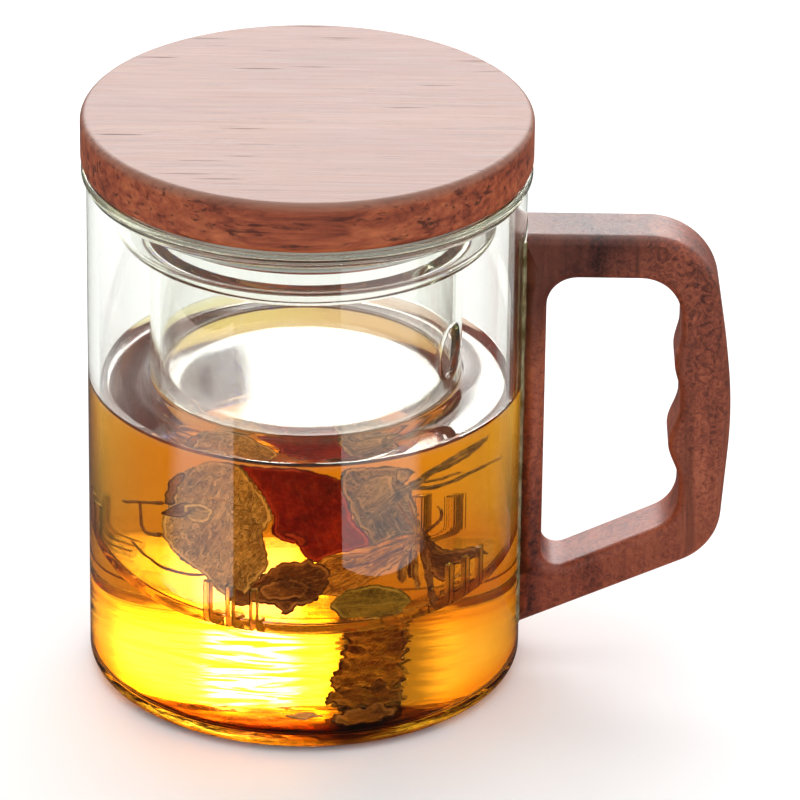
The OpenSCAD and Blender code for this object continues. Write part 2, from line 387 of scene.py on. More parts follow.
def wood(name, patches=(), grain="X", dark=(0.045, 0.014, 0.009), mid=(0.150, 0.044, 0.024), light=(0.270, 0.098, 0.055), figure=1.0, burl=0.0, rough=0.40, seed=0.0, pore=1.0, line=0.38, snap=1.0, lines_at=260, mottle_at=330, curl=0.8, streaks=0.0):
    """Oiled reddish walnut. grain is the axis along which fibres run."""
    k = Mat(name)
    stretch = {"X": (0.045, 1, 1), "Y": (1, 0.045, 1), "Z": (1, 1, 0.045)}[grain]
    soft = {"X": (0.16, 1, 1), "Y": (1, 0.16, 1), "Z": (1, 1, 0.16)}[grain]
    off = (seed, seed * 0.37, seed * 0.71)
    # broad figure: slow changes of tone along the board
    broad = k.noise(k.coords(scale=soft, loc=off), 42, 4, 0.6, 0.6)
    # growth lines: streaks that wander a little
    lines = k.noise(k.coords(scale=stretch, loc=off), lines_at, 5, 0.62, 0.35)
    # fibres: the finest streaks
    fibre = k.noise(k.coords(scale=tuple(s * (0.6 if s < 1 else 1) for s in stretch), loc=off), 1500, 6, 0.7)
    # mottle: short cross figure that the polish brings out
    mottle = k.noise(k.coords(scale=(1, 1, 1), loc=off), mottle_at, 5, 0.62, curl)
    tone = k.math("MULTIPLY_ADD", broad.outputs["Fac"], None, vb=0.62 * figure)
    tone.inputs[2].default_value = 0.5 - 0.31 * figure - 0.19
    t2 = k.math("MULTIPLY_ADD", lines.outputs["Fac"], None, vb=line)
    k.t.links.new(tone.outputs[0], t2.inputs[2])
    t3 = k.math("MULTIPLY_ADD", mottle.outputs["Fac"], None, vb=0.10 + 0.35 * burl)
    k.t.links.new(t2.outputs[0], t3.inputs[2])
    t4 = k.math("ADD", t3.outputs[0], None, vb=-(0.05 + 0.175 * burl) + 0.5 * (0.38 - line))
    col = k.ramp(t4, 0, [(0.48 + (q - 0.48) / snap, c) for q, c in ((0.22, dark), (0.47, mid), (0.62, tuple((a + b) / 2 for a, b in zip(mid, light))), (0.82, light))])
    # dark streaks along the grain, broken up by the mottle
    dk = k.noise(k.coords(scale=tuple(q * 1.6 if q < 1 else q for q in stretch), loc=(off[0] + 1, off[1], off[2])), lines_at * 1.15, 4, 0.6, 0.5)
    dk2 = k.math("MULTIPLY_ADD", mottle.outputs["Fac"], None, vb=0.35)
    k.link(dk, "Fac", dk2, 2)
    dm = k.range(dk2, 0, 0.74, 0.84, 0.0, streaks)
    tinted = k.mix(dm.outputs["Result"], col.outputs["Color"], tuple(q * 0.55 for q in dark)).outputs[2]
    # wide areas of another colour, for the wood's own tone and for painted sheen and shade: (from point, to point,
    # colour factors at the far one, how far the figure fades there), in mm, along a line
    for p0, p1, factors, plain in patches:
        tc = k.n("ShaderNodeTexCoord")
        wob = k.noise(k.coords(scale=soft, loc=off), 30, 3, 0.6)
        d = (Vector(p1) - Vector(p0)) * MM
        dot = k.n("ShaderNodeVectorMath", operation="DOT_PRODUCT")
        k.link(tc, "Object", dot, 0)
        dot.inputs[1].default_value = d / d.length_squared
        t0 = (Vector(p0) * MM).dot(d) / d.length_squared
        q = k.math("MULTIPLY_ADD", wob.outputs["Fac"], None, vb=0.5)
        k.link(dot, "Value", q, 2)
        f = k.range(q, 0, t0 + 0.25, t0 + 1.25, 0.0, 1.0)
        tinted = k.mix(k.math("MULTIPLY", f.outputs["Result"], None, vb=plain).outputs[0], tinted, tuple(0.8 * a + 0.2 * b for a, b in zip(mid, light))).outputs[2]
        tinted = k.mix(1.0, tinted, k.mix(f.outputs["Result"], (1.0, 1.0, 1.0), factors).outputs[2], "MULTIPLY").outputs[2]
    # fibres vary the tone by a few percent
    fr = k.range(fibre, "Fac", 0.25, 0.75, 0.78, 1.20)
    fc = k.n("ShaderNodeCombineColor")
    for i in range(3):
        k.t.links.new(fr.outputs["Result"], fc.inputs[i])
    c2 = k.mix(1.0, tinted, fc.outputs["Color"], "MULTIPLY")
    # pores: short dark dashes along the grain
    pv = k.n("ShaderNodeTexVoronoi", feature="F1")
    pv.inputs["Scale"].default_value = 620
    pv.inputs["Randomness"].default_value = 1
    pc = k.coords(scale=tuple(s * (1.2 if s < 1 else 1) for s in stretch), loc=off)
    k.link(pc, "Vector", pv, "Vector")
    pm = k.range(pv, "Distance", 0.10, 0.22, 1.0, 0.0)
    gate = k.noise(k.coords(scale=soft, loc=(off[0] + 3, off[1], off[2])), 190, 3, 0.6)
    gr = k.range(gate, "Fac", 0.50, 0.62, 0.0, 1.0)
    pore_m = k.math("MULTIPLY", pm.outputs["Result"], gr.outputs["Result"])
    pore_f = k.math("MULTIPLY", pore_m.outputs[0], None, vb=0.75 * pore)
    c3 = k.mix(pore_f.outputs[0], c2.outputs[2], tuple(c * 0.35 for c in dark))
    k.t.links.new(c3.outputs[2], k.bsdf.inputs["Base Color"])
    # satin oil: fibres and pores roughen it
    rr = k.range(fibre, "Fac", 0.3, 0.7, rough - 0.05, rough + 0.07)
    r2 = k.math("MULTIPLY_ADD", pore_f.outputs[0], None, vb=0.25)
    k.t.links.new(rr.outputs["Result"], r2.inputs[2])
    k.t.links.new(r2.outputs[0], k.bsdf.inputs["Roughness"])
    h1 = k.math("MULTIPLY_ADD", fibre.outputs["Fac"], None, vb=0.35)
    k.t.links.new(lines.outputs["Fac"], h1.inputs[2])
    h2 = k.math("MULTIPLY_ADD", pore_f.outputs[0], None, vb=-0.9)
    k.t.links.new(h1.outputs[0], h2.inputs[2])
    bp = k.bump(h2.outputs[0], 0.22, 0.00035)
    k.link(bp, "Normal", k.bsdf, "Normal")
    k.set(IOR=1.52, Specular_IOR_Level=0.62)
    return k.m


def silicone():
    k = Mat("seal_silicone")
    k.set(Transmission_Weight=0.30, IOR=1.41)
    src = k.coords()
    fine = k.noise(src, 900, 4, 0.6)
    broad = k.noise(src, 90, 2, 0.5)
    col = k.ramp(broad, "Fac", [(0.3, (0.74, 0.75, 0.73)), (0.7, (0.86, 0.86, 0.84))])
    k.link(col, "Color", k.bsdf, "Base Color")
    r = k.range(fine, "Fac", 0.3, 0.7, 0.30, 0.46)
    k.link(r, "Result", k.bsdf, "Roughness")
    bp = k.bump(fine.outputs["Fac"], 0.15, 0.0001)
    k.link(bp, "Normal", k.bsdf, "Normal")
    return k.m


def adhesive():
    """Clear bond with trapped bubbles and a faint straw tint."""
    k = Mat("clear_bond")
    k.set(Transmission_Weight=0.70, IOR=1.5)
    src = k.coords(scale=(1, 1, 0.6))
    bub = k.n("ShaderNodeTexVoronoi", feature="F1")
    bub.inputs["Scale"].default_value = 900
    k.link(src, "Vector", bub, "Vector")
    spots = k.range(bub, "Distance", 0.05, 0.25, 1.0, 0.0)
    nz = k.noise(src, 420, 4, 0.6)
    col = k.ramp(nz, "Fac", [(0.38, (0.30, 0.22, 0.07)), (0.60, (0.86, 0.78, 0.46))])
    k.link(col, "Color", k.bsdf, "Base Color")
    r = k.range(nz, "Fac", 0.3, 0.7, 0.04, 0.22)
    k.link(r, "Result", k.bsdf, "Roughness")
    h = k.math("ADD", spots.outputs["Result"], nz.outputs["Fac"])
    bp = k.bump(h.outputs[0], 0.5, 0.0004)
    k.link(bp, "Normal", k.bsdf, "Normal")
    return k.m


FLOOR_WAVE = 0.30
MUG_GLASS = glass("mug_glass", 41.0)
INF_GLASS = glass("infuser_glass", 99.0, wave=0.008)
GROUND = ground_glass()
# the lid's top is paler and bluer than its side: partly the wood's own tone, partly painted sheen
LID_WOOD = wood("lid_wood", [((0, 0, 114.6), (0, 0, 116.5), (0.658, 1.37, 3.1), 0.72)], grain="X", figure=0.8, rough=0.42, seed=0.31, line=0.6, snap=1.8, lines_at=520, streaks=0.8, dark=(0.107, 0.015, 0.0045), mid=(0.360, 0.062, 0.0155), light=(0.585, 0.147, 0.041))
# the handle's upper corner by the mug and its lower arm are darker, its top face paler and bluer: partly the wood's own
# tone, partly painted shade, and on the top face painted sheen
HANDLE_WOOD = wood("handle_wood", [((66, 0, 84), (58, 0, 92), (0.30, 0.24, 0.26), 0.0), ((60, 0, 42), (60, 0, 26), (0.78, 0.66, 0.60), 0.0), ((60, 0, 92.9), (60, 0, 93.65), (1.15, 1.6, 1.8), 0.0)], grain="Z", figure=1.3, burl=1.3, rough=0.42, seed=1.7, line=0.16, snap=1.9, mottle_at=480, curl=2.4, streaks=0.4, pore=0.7, dark=(0.070, 0.012, 0.006), mid=(0.295, 0.058, 0.022), light=(0.52, 0.135, 0.050))
SILICONE = silicone()
BOND = adhesive()


# --------------------------------------------------------------------- pieces
def give(ob, body, slot, replaces, *mats):
    for m in mats:
        if m.name not in [x.name for x in ob.data.materials if x]:
            ob.data.materials.append(m)
    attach(ob, body)
    if replaces:
        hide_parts(replaces)
    return ob


# mug
mug_sec = rounded(
    [(0, 0, 0, 0), (MUG_R, 0, FOOT_R, 12), (MUG_R, MUG_H, 0.99, 8), (BORE_R, MUG_H, 0.99, 8), (BORE_R, MUG_FLOOR, WELL_R, 12), (0, MUG_FLOOR, 0, 0)],
    closed=False,
)
mug = lathe("mug_body", mug_sec, 320, closed=False)
give(mug, "mug", "mug_glass", "mug_glass", MUG_GLASS)


# infuser
def infuser_corners(o=0.0):
    """Section of the infuser; o shrinks the wall by that much on every side."""
    return [
        (0, TUBE_Z + o, 0, 0),
        (TUBE_RO - o, TUBE_Z + o, 2.6 - o, 10),
        (TUBE_RO - o, SHELF_Z + o, 2.4 + o, 10),
        (COLLAR_RO - o, SHELF_Z + o, 3.4 - o, 10),
        (COLLAR_RO - o, FLANGE_Z + o, 1.2 + o, 6),
        (FLANGE_R - o, FLANGE_Z + o, 0.86 - o, 6),
        (FLANGE_R - o, FLANGE_TOP - o, 0.86 - o, 6),
        (COLLAR_RI + o, FLANGE_TOP - o, 0.8 - o, 6),
        (COLLAR_RI + o, SHELF_Z + SHELF_T - o, 1.2 + o, 6),
        (TUBE_RI + o, SHELF_Z + SHELF_T - o, 1.4 - o, 8),
        (TUBE_RI + o, TUBE_Z + 2.0 - o, 1.6 + o, 8),
        (0, TUBE_Z + 2.0 - o, 0, 0),
    ]


SLOT_A, SLOT_STEP, SLOT_W, SLOT_H, SLOT_IN = -25, 8.5, 1.0, 9.5, 6.0


def slot_cutters(name, grow, mat):
    obs = []
    for g in range(4):
        for s in range(3):
            a = math.radians(SLOT_A + g * 90 + (s - 1) * SLOT_STEP - 90)
            r0, r1 = TUBE_RO - SLOT_IN - grow, TUBE_RO + 1
            z0, z1 = TUBE_Z - 1, TUBE_Z + SLOT_H + grow
            b = box_mesh(f"{name}_{g}_{s}", ((r0 + r1) / 2, 0, (z0 + z1) / 2), ((r1 - r0) / 2, SLOT_W / 2 + grow, (z1 - z0) / 2), a)
            obs.append(b)
    ob = join(obs, name)
    ob.data.materials.clear()
    ob.data.materials.append(mat)
    return ob


VENT_A, VENT_Z, VENT_R = math.radians(69 - 90), 71.6, 5.0


def vent_cutter(name, mat):
    """A hole with fire-polished, rounded rims: it flares where it meets both faces of the tube."""
    rim, c = 0.85, (TUBE_RO + TUBE_RI) / 2
    prof = [(VENT_R + rim + 0.05, -6)]
    for k in range(0, 9):
        f = math.pi / 2 * k / 8
        prof.append((VENT_R + rim - rim * math.sin(f), -rim * math.cos(f)))
    prof += [(r, -z) for r, z in reversed(prof[:-1])]
    sec = [(0, -6, 0, -1)] + [(r, z, 1, 0) for r, z in prof] + [(0, 6, 0, 1)]
    ob = lathe(name, sec, 64, closed=False)
    m = Matrix.Rotation(VENT_A, 4, "Z") @ Matrix.Translation((c * MM, 0, VENT_Z * MM)) @ Matrix.Rotation(math.pi / 2, 4, "Y")
    ob.data.transform(m)
    ob.data.materials.append(mat)
    return ob


inf_sec = rounded(infuser_corners(), closed=False)
infuser = lathe("infuser_blown", inf_sec, 288, closed=False)
infuser.data.materials.append(INF_GLASS)
cut(infuser, [slot_cutters("slots", 0.0, GROUND), vent_cutter("vent", INF_GLASS)])
_is = Section(inf_sec, False)
_vc = Vector((math.cos(VENT_A), math.sin(VENT_A), 0))


def _infuser_normal(x, y, z):
    # points on the rounded rim of the vent hole keep the mesh's own normal
    v = Vector((x, y, z - VENT_Z))
    along = v.dot(_vc)
    off = (v - _vc * along).length
    if along > 20 and off < VENT_R + 0.80 and abs(z - VENT_Z) < 8:
        return None
    return _is.normal(x, y, z)


infuser.data.update()
turned_normals(infuser, {0: _infuser_normal, 1: None})
give(infuser, "infuser", "infuser_glass", "infuser", INF_GLASS, GROUND)

# lid: disc and plug in one piece
lid_sec = rounded(
    [
        (0, PLUG_Z, 0, 0),
        (PLUG_R, PLUG_Z, 0.6, 4),
        (PLUG_R, 98.6, 0.15, 2),
        (GROOVE_R, 98.6, 0.15, 2),
        (GROOVE_R, 105.4, 0.15, 2),
        (PLUG_R, 105.4, 0.15, 2),
        (PLUG_R, LID_Z, 0.2, 2),
        (LID_R, LID_Z, 2.0, 10),
        (LID_R, LID_TOP, 1.5, 10),
        (0, LID_TOP, 0, 0),
    ],
    closed=False,
)
lid = lathe("lid_turned", lid_sec, 256, closed=False)
give(lid, "lid", "lid_wood", "lid", LID_WOOD)

# silicone ring with three soft fins
fin_z = [99.1, 101.6, 104.1]
seal_pts = [(30.18, 98.7, 0.25, 3), (33.3, 98.7, 0.3, 3)]
for z in fin_z:
    seal_pts += [(33.3, z + 0.05, 0.25, 3), (34.7, z + 0.18, 0.30, 4), (34.7, z + 0.84, 0.30, 4), (33.3, z + 0.75, 0.25, 3)]
seal_pts += [(33.3, 105.3, 0.3, 3), (30.18, 105.3, 0.25, 3)]
seal_sec = rounded(seal_pts)
seal = lathe("seal_ring", seal_sec, 224, closed=True)
give(seal, "seal", "seal_silicone", "lid_seal", SILICONE)


# handle
def hull2(points):
    pts = sorted(set((round(x, 6), round(y, 6)) for x, y in points))

    def half(ps):
        out = []
        for p in ps:
            while len(out) > 1 and (out[-1][0] - out[-2][0]) * (p[1] - out[-2][1]) - (out[-1][1] - out[-2][1]) * (p[0] - out[-2][0]) <= 0:
                out.pop()
            out.append(p)
        return out

    lo, up = half(pts), half(pts[::-1])
    return lo[:-1] + up[:-1]


def disc(cx, cy, r, n=180):
    return [(cx + r * math.cos(2 * math.pi * k / n), cy + r * math.sin(2 * math.pi * k / n)) for k in range(n)]


def even(loop, step):
    """Resamples a closed loop evenly."""
    p = np.array(loop + loop[:1])
    s = np.concatenate([[0], np.cumsum(np.linalg.norm(np.diff(p, axis=0), axis=1))])
    n = int(round(s[-1] / step))
    u = np.linspace(0, s[-1], n, endpoint=False)
    return np.stack([np.interp(u, s, p[:, 0]), np.interp(u, s, p[:, 1])], 1)


def smooth(loop, times, keep=None):
    for _ in range(times):
        q = (np.roll(loop, 1, 0) + 2 * loop + np.roll(loop, -1, 0)) / 4
        if keep is not None:
            q[keep] = loop[keep]
        loop = q
    return loop


def loop_normals(loop):
    t = np.roll(loop, -1, 0) - np.roll(loop, 1, 0)
    t /= np.linalg.norm(t, axis=1)[:, None]
    return np.stack([t[:, 1], -t[:, 0]], 1)


HANDLE_TOP, REACH, HALF_Y = 93.7, 82.8, 6.5
slope = math.tan(math.radians(23.7))
back = [(-17.2 + 100 * math.cos(a), 55 + 100 * math.sin(a)) for a in np.linspace(-0.12, 0.20, 60)]
back = [p for p in back if 44 <= p[1] <= 74]
outer = hull2(
    disc(REACH - 16.8, HANDLE_TOP - 14, 14)
    + disc(REACH - 13.5, 35, 12.3)
    + back
    + [(34, HANDLE_TOP), (34, 9.5 - (42.5 - 34) * slope)]
)
outer = smooth(even(outer, 0.5), 2)


def ridge(z, z0, w, h):
    return h * (1 + math.cos(math.pi * (z - z0) / w)) / 2 if abs(z - z0) < w else 0.0


def grip(z):
    return 73.12 - (z - 37) / 80 - ridge(z, 66.4, 6.5, 1.15) - ridge(z, 49.1, 8, 2.15)


inner = hull2(disc(52.5, HANDLE_TOP - 15.1, 6) + disc(64.6, HANDLE_TOP - 17.1, 8) + disc(65.4, 37.6, 7.7) + disc(49.7, 25.4, 3.2))
inner = even(inner, 0.4)
for p in inner:
    if 39 <= p[1] <= 75 and p[0] > 66:
        p[0] = min(p[0], grip(p[1]))
inner = smooth(even([tuple(p) for p in inner], 0.4), 3)


def ring_of(loop, side, ease, half, steps, inward):
    """Rows of points that round a loop's edge: side -1 is the near face (-Y)."""
    nrm = loop_normals(loop) * inward
    rows = []
    for k in range(steps + 1):
        a = math.pi / 2 * k / steps
        off = ease * (1 - math.cos(a))
        y = half - ease + ease * math.sin(a)
        rows.append([(p[0] - n[0] * off, side * y, p[1] - n[1] * off) for p, n in zip(loop, nrm)])
    return rows


def within(q, poly):
    """Which points lie inside a closed loop."""
    x, y = q[:, 0], q[:, 1]
    ok = np.zeros(len(q), bool)
    for a, b in zip(poly, np.roll(poly, -1, 0)):
        hit = (a[1] > y) != (b[1] > y)
        with np.errstate(divide="ignore", invalid="ignore"):
            ok ^= hit & (x < (b[0] - a[0]) * (y - a[1]) / (b[1] - a[1]) + a[0])
    return ok


def make_handle(name, ease=1.9, steps=7):
    bm = bmesh.new()
    near_loops, far_loops = [], []
    for loop, inward in ((outer, 1), (inner, -1)):
        near = ring_of(loop, -1, ease, HALF_Y, steps, inward)
        far = ring_of(loop, 1, ease, HALF_Y, steps, inward)
        rows = near[::-1]
        for y in np.linspace(-(HALF_Y - ease), HALF_Y - ease, 6)[1:-1]:
            rows.append([(p[0], y, p[1]) for p in loop])
        rows += far
        vs = [[bm.verts.new(Vector(c) * MM) for c in row] for row in rows]
        n = len(loop)
        for a, b in zip(vs, vs[1:]):
            for j in range(n):
                k = (j + 1) % n
                q = (a[j], b[j], b[k], a[k])
                bm.faces.new(q if inward == 1 else q[::-1])
        near_loops.append(vs[0])
        far_loops.append(vs[-1])
    for rim, hole in (near_loops, far_loops):
        flat = np.array([(v.co.x / MM, v.co.z / MM) for v in rim + hole])
        n, m = len(rim), len(hole)
        around = [(j, (j + 1) % n) for j in range(n)] + [(n + j, n + (j + 1) % m) for j in range(m)]
        spots, _, tris, came, _, _ = delaunay_2d_cdt([Vector(c) for c in flat], around, [], 0, 1e-5)
        # where the inner rim of the rounded edge crosses itself, at the end that is cut off below, the crossing is a point of its own
        extra = [i for i, c in enumerate(came) if not c]
        for i in extra:
            came[i] = [len(flat) + extra.index(i)]
        every = rim + hole + [bm.verts.new((spots[i][0] * MM, rim[0].co.y, spots[i][1] * MM)) for i in extra]
        flat = np.vstack([flat] + [np.array(spots[i])[None] for i in extra])
        tris = [[came[i][0] for i in t] for t in tris]
        middle = np.array([flat[t].mean(0) for t in tris])
        for t, keep in zip(tris, within(middle, flat[:n]) & ~within(middle, flat[n : n + m])):
            x, y = flat[t[1]] - flat[t[0]], flat[t[2]] - flat[t[0]]
            if keep and abs(x[0] * y[1] - x[1] * y[0]) > 1e-4:
                bm.faces.new([every[i] for i in t])
    bmesh.ops.recalc_face_normals(bm, faces=bm.faces)
    me = bpy.data.meshes.new(name)
    bm.to_mesh(me)
    bm.free()
    ob = bpy.data.objects.new(name, me)
    scene.collection.objects.link(ob)
    return ob


handle = make_handle("handle_loop")
cyl = lathe("handle_cutter", rounded([(0, -5, 0, 0), (42.76, -5, 0, 0), (42.76, 130, 0, 0), (0, 130, 0, 0)], closed=False), 512, closed=False)
handle.data.materials.append(HANDLE_WOOD)
cyl.data.materials.append(HANDLE_WOOD)
cut(handle, [cyl])
handle.data.polygons.foreach_set("use_smooth", [True] * len(handle.data.polygons))
handle.data.set_sharp_from_angle(angle=math.radians(40))
wn = handle.modifiers.new("weighted", "WEIGHTED_NORMAL")
wn.mode, wn.keep_sharp, wn.weight = "FACE_AREA", True, 100
give(handle, "mug", "handle_wood", "handle", HANDLE_WOOD)


# bond: the thin layer, with a small squeezed-out bead along each side
def make_bond(name):
    rnd = random.Random(5)
    bm = bmesh.new()
    zs = np.linspace(10.1, 92.8, 160)
    rows = []
    w = [0.0, 0.0]
    for i, z in enumerate(zs):
        for s in (0, 1):
            w[s] += (rnd.random() - 0.5) * 0.26 - w[s] * 0.14
        row = []
        wn_, wf = 0.70 + w[0], 0.62 + w[1]
        # section across Y, from the near bead over the glass side to the far bead and back on the wood side
        for y in np.linspace(-6.35, 6.35, 15):
            row.append((42.47, y))
        sec = [(42.47, 6.5 + max(0.12, wf)), (42.62 + 0.25 * max(0.1, wf), 6.5 + 0.75 * max(0.12, wf)), (42.78 + 0.3 * max(0.1, wf), 6.47)]
        sec2 = [(42.78 + 0.3 * max(0.1, wn_), -6.47), (42.62 + 0.25 * max(0.1, wn_), -6.5 - 0.75 * max(0.12, wn_)), (42.47, -6.5 - max(0.12, wn_))]
        row = row + sec + [(42.77, y) for y in np.linspace(6.25, -6.25, 15)] + sec2
        pts = []
        for r, y in row:
            x = math.sqrt(max(r * r - y * y, 1))
            pts.append(bm.verts.new((x * MM, y * MM, z * MM)))
        rows.append(pts)
    n = len(rows[0])
    for a, b in zip(rows, rows[1:]):
        for j in range(n):
            k = (j + 1) % n
            bm.faces.new((a[j], a[k], b[k], b[j]))
    bm.faces.new(rows[0][::-1])
    bm.faces.new(rows[-1])
    bmesh.ops.recalc_face_normals(bm, faces=bm.faces)
    me = bpy.data.meshes.new(name)
    bm.to_mesh(me)
    bm.free()
    me.polygons.foreach_set("use_smooth", [True] * len(me.polygons))
    me.set_sharp_from_angle(angle=math.radians(50))
    ob = bpy.data.objects.new(name, me)
    scene.collection.objects.link(ob)
    return ob


bond = make_bond("bond_beads")
give(bond, "mug", "clear_bond", "handle_bond", BOND)


# ----------------------------------------------------------------- tea (stage)
def tea_material():
    """Clear amber tea. The free surface reflects; the sides, which lie in the glass wall, only refract, since tea against glass hardly reflects."""
    k = Mat("tea")
    k.t.nodes.remove(k.bsdf)
    g = k.n("ShaderNodeBsdfGlass")
    g.inputs["IOR"].default_value = 1.333
    g.inputs["Roughness"].default_value = 0.0
    rf = k.n("ShaderNodeBsdfRefraction")
    rf.inputs["IOR"].default_value = 1.333
    rf.inputs["Roughness"].default_value = 0.0
    tc = k.n("ShaderNodeTexCoord")
    sp = k.n("ShaderNodeSeparateXYZ")
    k.link(tc, "Object", sp, 0)
    top = k.math("GREATER_THAN", sp.outputs["Z"], None, vb=(TEA_Z - 0.15) * MM)
    mx = k.n("ShaderNodeMixShader")
    k.t.links.new(top.outputs[0], mx.inputs[0])
    k.t.links.new(rf.outputs[0], mx.inputs[1])
    k.t.links.new(g.outputs[0], mx.inputs[2])
    k.t.links.new(mx.outputs[0], k.out.inputs["Surface"])
    va = k.n("ShaderNodeVolumeAbsorption")
    va.inputs["Color"].default_value = (0.929, 0.714, 0.03, 1)
    va.inputs["Density"].default_value = 70
    k.link(va, "Volume", k.out, "Volume")
    return k.m


TEA = tea_material()


def tea_top(r):
    """Height of the tea's surface: it climbs the three glass walls."""
    d = TUBE_RI - r if r < TUBE_RI else max(r - TUBE_RO, 0.0)
    return TEA_Z - 0.1 + max(2.0 * math.exp(-d / 2.0), 1.6 * math.exp(-max(BORE_R - r, 0.0) / 0.8))


def make_tea():
    o = 0.2  # the tea reaches this far into the glass, so that no air gap is left between them
    low = rounded([(0, MUG_FLOOR - o, 0, 0), (BORE_R + o, MUG_FLOOR - o, WELL_R + o, 12), (BORE_R + o, TEA_Z, 0, 0), (0, TEA_Z, 0, 0)], closed=False)[:-2]
    rs = [BORE_R + o] + list(np.linspace(BORE_R, TUBE_RO + 5.0, 14)) + list(np.linspace(TUBE_RO + 4.6, TUBE_RO, 14)) + [29.4] + list(np.linspace(TUBE_RI, TUBE_RI - 5, 15)) + [20, 14, 7]
    top = []
    for r in rs:
        e = 0.02
        dz = (tea_top(r + e) - tea_top(r - e)) / (2 * e)
        if r >= BORE_R or TUBE_RI < r < TUBE_RO:
            dz = 0
        n = 1 / math.sqrt(1 + dz * dz)
        top.append((r, tea_top(r), -dz * n, n))
    sec = low + top + [(0, TEA_Z - 0.1, 0, 1)]
    ob = lathe("tea", sec, 288, closed=False)
    ob.data.materials.append(TEA)
    cutter_sec = rounded(infuser_corners(o), closed=False)
    cutter = lathe("tea_cutter", cutter_sec, 288, closed=False)
    tag = bpy.data.materials.new("tea_cut")
    cutter.data.materials.append(tag)
    slots = slot_cutters("tea_slots", o, tag)
    cut(cutter, [slots])
    cut(ob, [cutter])
    a, b = Section(sec, False), Section(cutter_sec, False)

    def wall(x, y, z):
        return -b.normal(x, y, z)

    me = ob.data
    names = [m.name if m else "" for m in me.materials]
    i_cut = names.index("tea_cut") if "tea_cut" in names else 1
    # faces that came from a slot's flat sides are flat; the others follow the turned section
    me.polygons.foreach_set("use_smooth", [True] * len(me.polygons))
    co = np.array([v.co for v in me.vertices]) / MM
    normals = []
    for p in me.polygons:
        for li in p.loop_indices:
            x, y, z = co[me.loops[li].vertex_index]
            if p.material_index == i_cut:
                n = wall(x, y, z)
                if n.dot(p.normal) < 0.9:
                    n = p.normal.copy()
            else:
                n = a.normal(x, y, z)
                if n.dot(p.normal) < 0.7:
                    n = p.normal.copy()
            normals.append(n)
    me.normals_split_custom_set(normals)
    for i in range(len(me.materials)):
        me.materials[i] = TEA
    return ob


def close_tea(ob):
    """The tea closes again where the infuser has left it. At rest the mesh passes through untouched; once the infuser is lifted, its glass is cut out of the whole tea where it then is."""
    o = 0.2
    low = rounded([(0, MUG_FLOOR - o, 0, 0), (BORE_R + o, MUG_FLOOR - o, WELL_R + o, 12), (BORE_R + o, TEA_Z, 0, 0), (0, TEA_Z, 0, 0)], closed=False)[:-2]
    top = [(r, TEA_Z - 0.1 + 1.6 * math.exp(-max(BORE_R - r, 0.0) / 0.8), 0, 1) for r in (BORE_R + o, *np.linspace(BORE_R, BORE_R - 5, 14), 30, 20, 10)]
    full = lathe("tea_whole", low + top + [(0, TEA_Z - 0.1, 0, 1)], 288, closed=False)
    void = lathe("tea_space", rounded(infuser_corners(o), closed=False), 288, closed=False)
    for part, body in ((full, "mug"), (void, "infuser")):
        a = part.data.attributes.get("custom_normal")
        if a:
            part.data.attributes.remove(a)
        part.data.materials.append(TEA)
        part.hide_render = True
        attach(part, body)
    ng = bpy.data.node_groups.new("tea_closes", "GeometryNodeTree")
    ng.interface.new_socket("Geometry", in_out="INPUT", socket_type="NodeSocketGeometry")
    ng.interface.new_socket("Geometry", in_out="OUTPUT", socket_type="NodeSocketGeometry")
    into, out = ng.nodes.new("NodeGroupInput"), ng.nodes.new("NodeGroupOutput")
    whole, space = ng.nodes.new("GeometryNodeObjectInfo"), ng.nodes.new("GeometryNodeObjectInfo")
    whole.transform_space = space.transform_space = "RELATIVE"
    whole.inputs["Object"].default_value = full
    space.inputs["Object"].default_value = void
    minus = ng.nodes.new("GeometryNodeMeshBoolean")
    minus.operation, minus.solver = "DIFFERENCE", "EXACT"
    paint = ng.nodes.new("GeometryNodeSetMaterial")
    paint.inputs["Material"].default_value = TEA
    lift = ng.nodes.new("ShaderNodeSeparateXYZ")
    away = ng.nodes.new("ShaderNodeMath")
    away.operation = "GREATER_THAN"
    away.inputs[1].default_value = 0.0005
    pick = ng.nodes.new("GeometryNodeSwitch")
    pick.input_type = "GEOMETRY"
    ln = ng.links.new
    ln(whole.outputs["Geometry"], minus.inputs["Mesh 1"])
    ln(space.outputs["Geometry"], minus.inputs["Mesh 2"])
    ln(minus.outputs["Mesh"], paint.inputs["Geometry"])
    ln(space.outputs["Location"], lift.inputs[0])
    ln(lift.outputs["Z"], away.inputs[0])
    ln(away.outputs[0], pick.inputs["Switch"])
    ln(into.outputs[0], pick.inputs["False"])
    ln(paint.outputs["Geometry"], pick.inputs["True"])
    ln(pick.outputs["Output"], out.inputs[0])
    ob.modifiers.new("tea_closes", "NODES").node_group = ng


tea = make_tea()
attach(tea, "mug")
close_tea(tea)


def painted_amber_ring(name, sec, colour, density, body):
    """Painted tea light: an amber ring in the thick glass that stands in for the tea's colour the glass shows beside
    it. It only absorbs and doesn't bend light.
    """
    ob = lathe(name, sec, 192, closed=True)
    k = Mat(name)
    k.t.nodes.remove(k.bsdf)
    tr = k.n("ShaderNodeBsdfTransparent")
    k.link(tr, 0, k.out, "Surface")
    va = k.n("ShaderNodeVolumeAbsorption")
    va.inputs["Color"].default_value = (*colour, 1)
    va.inputs["Density"].default_value = density
    k.link(va, "Volume", k.out, "Volume")
    ob.data.materials.append(k.m)
    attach(ob, body)
    return ob


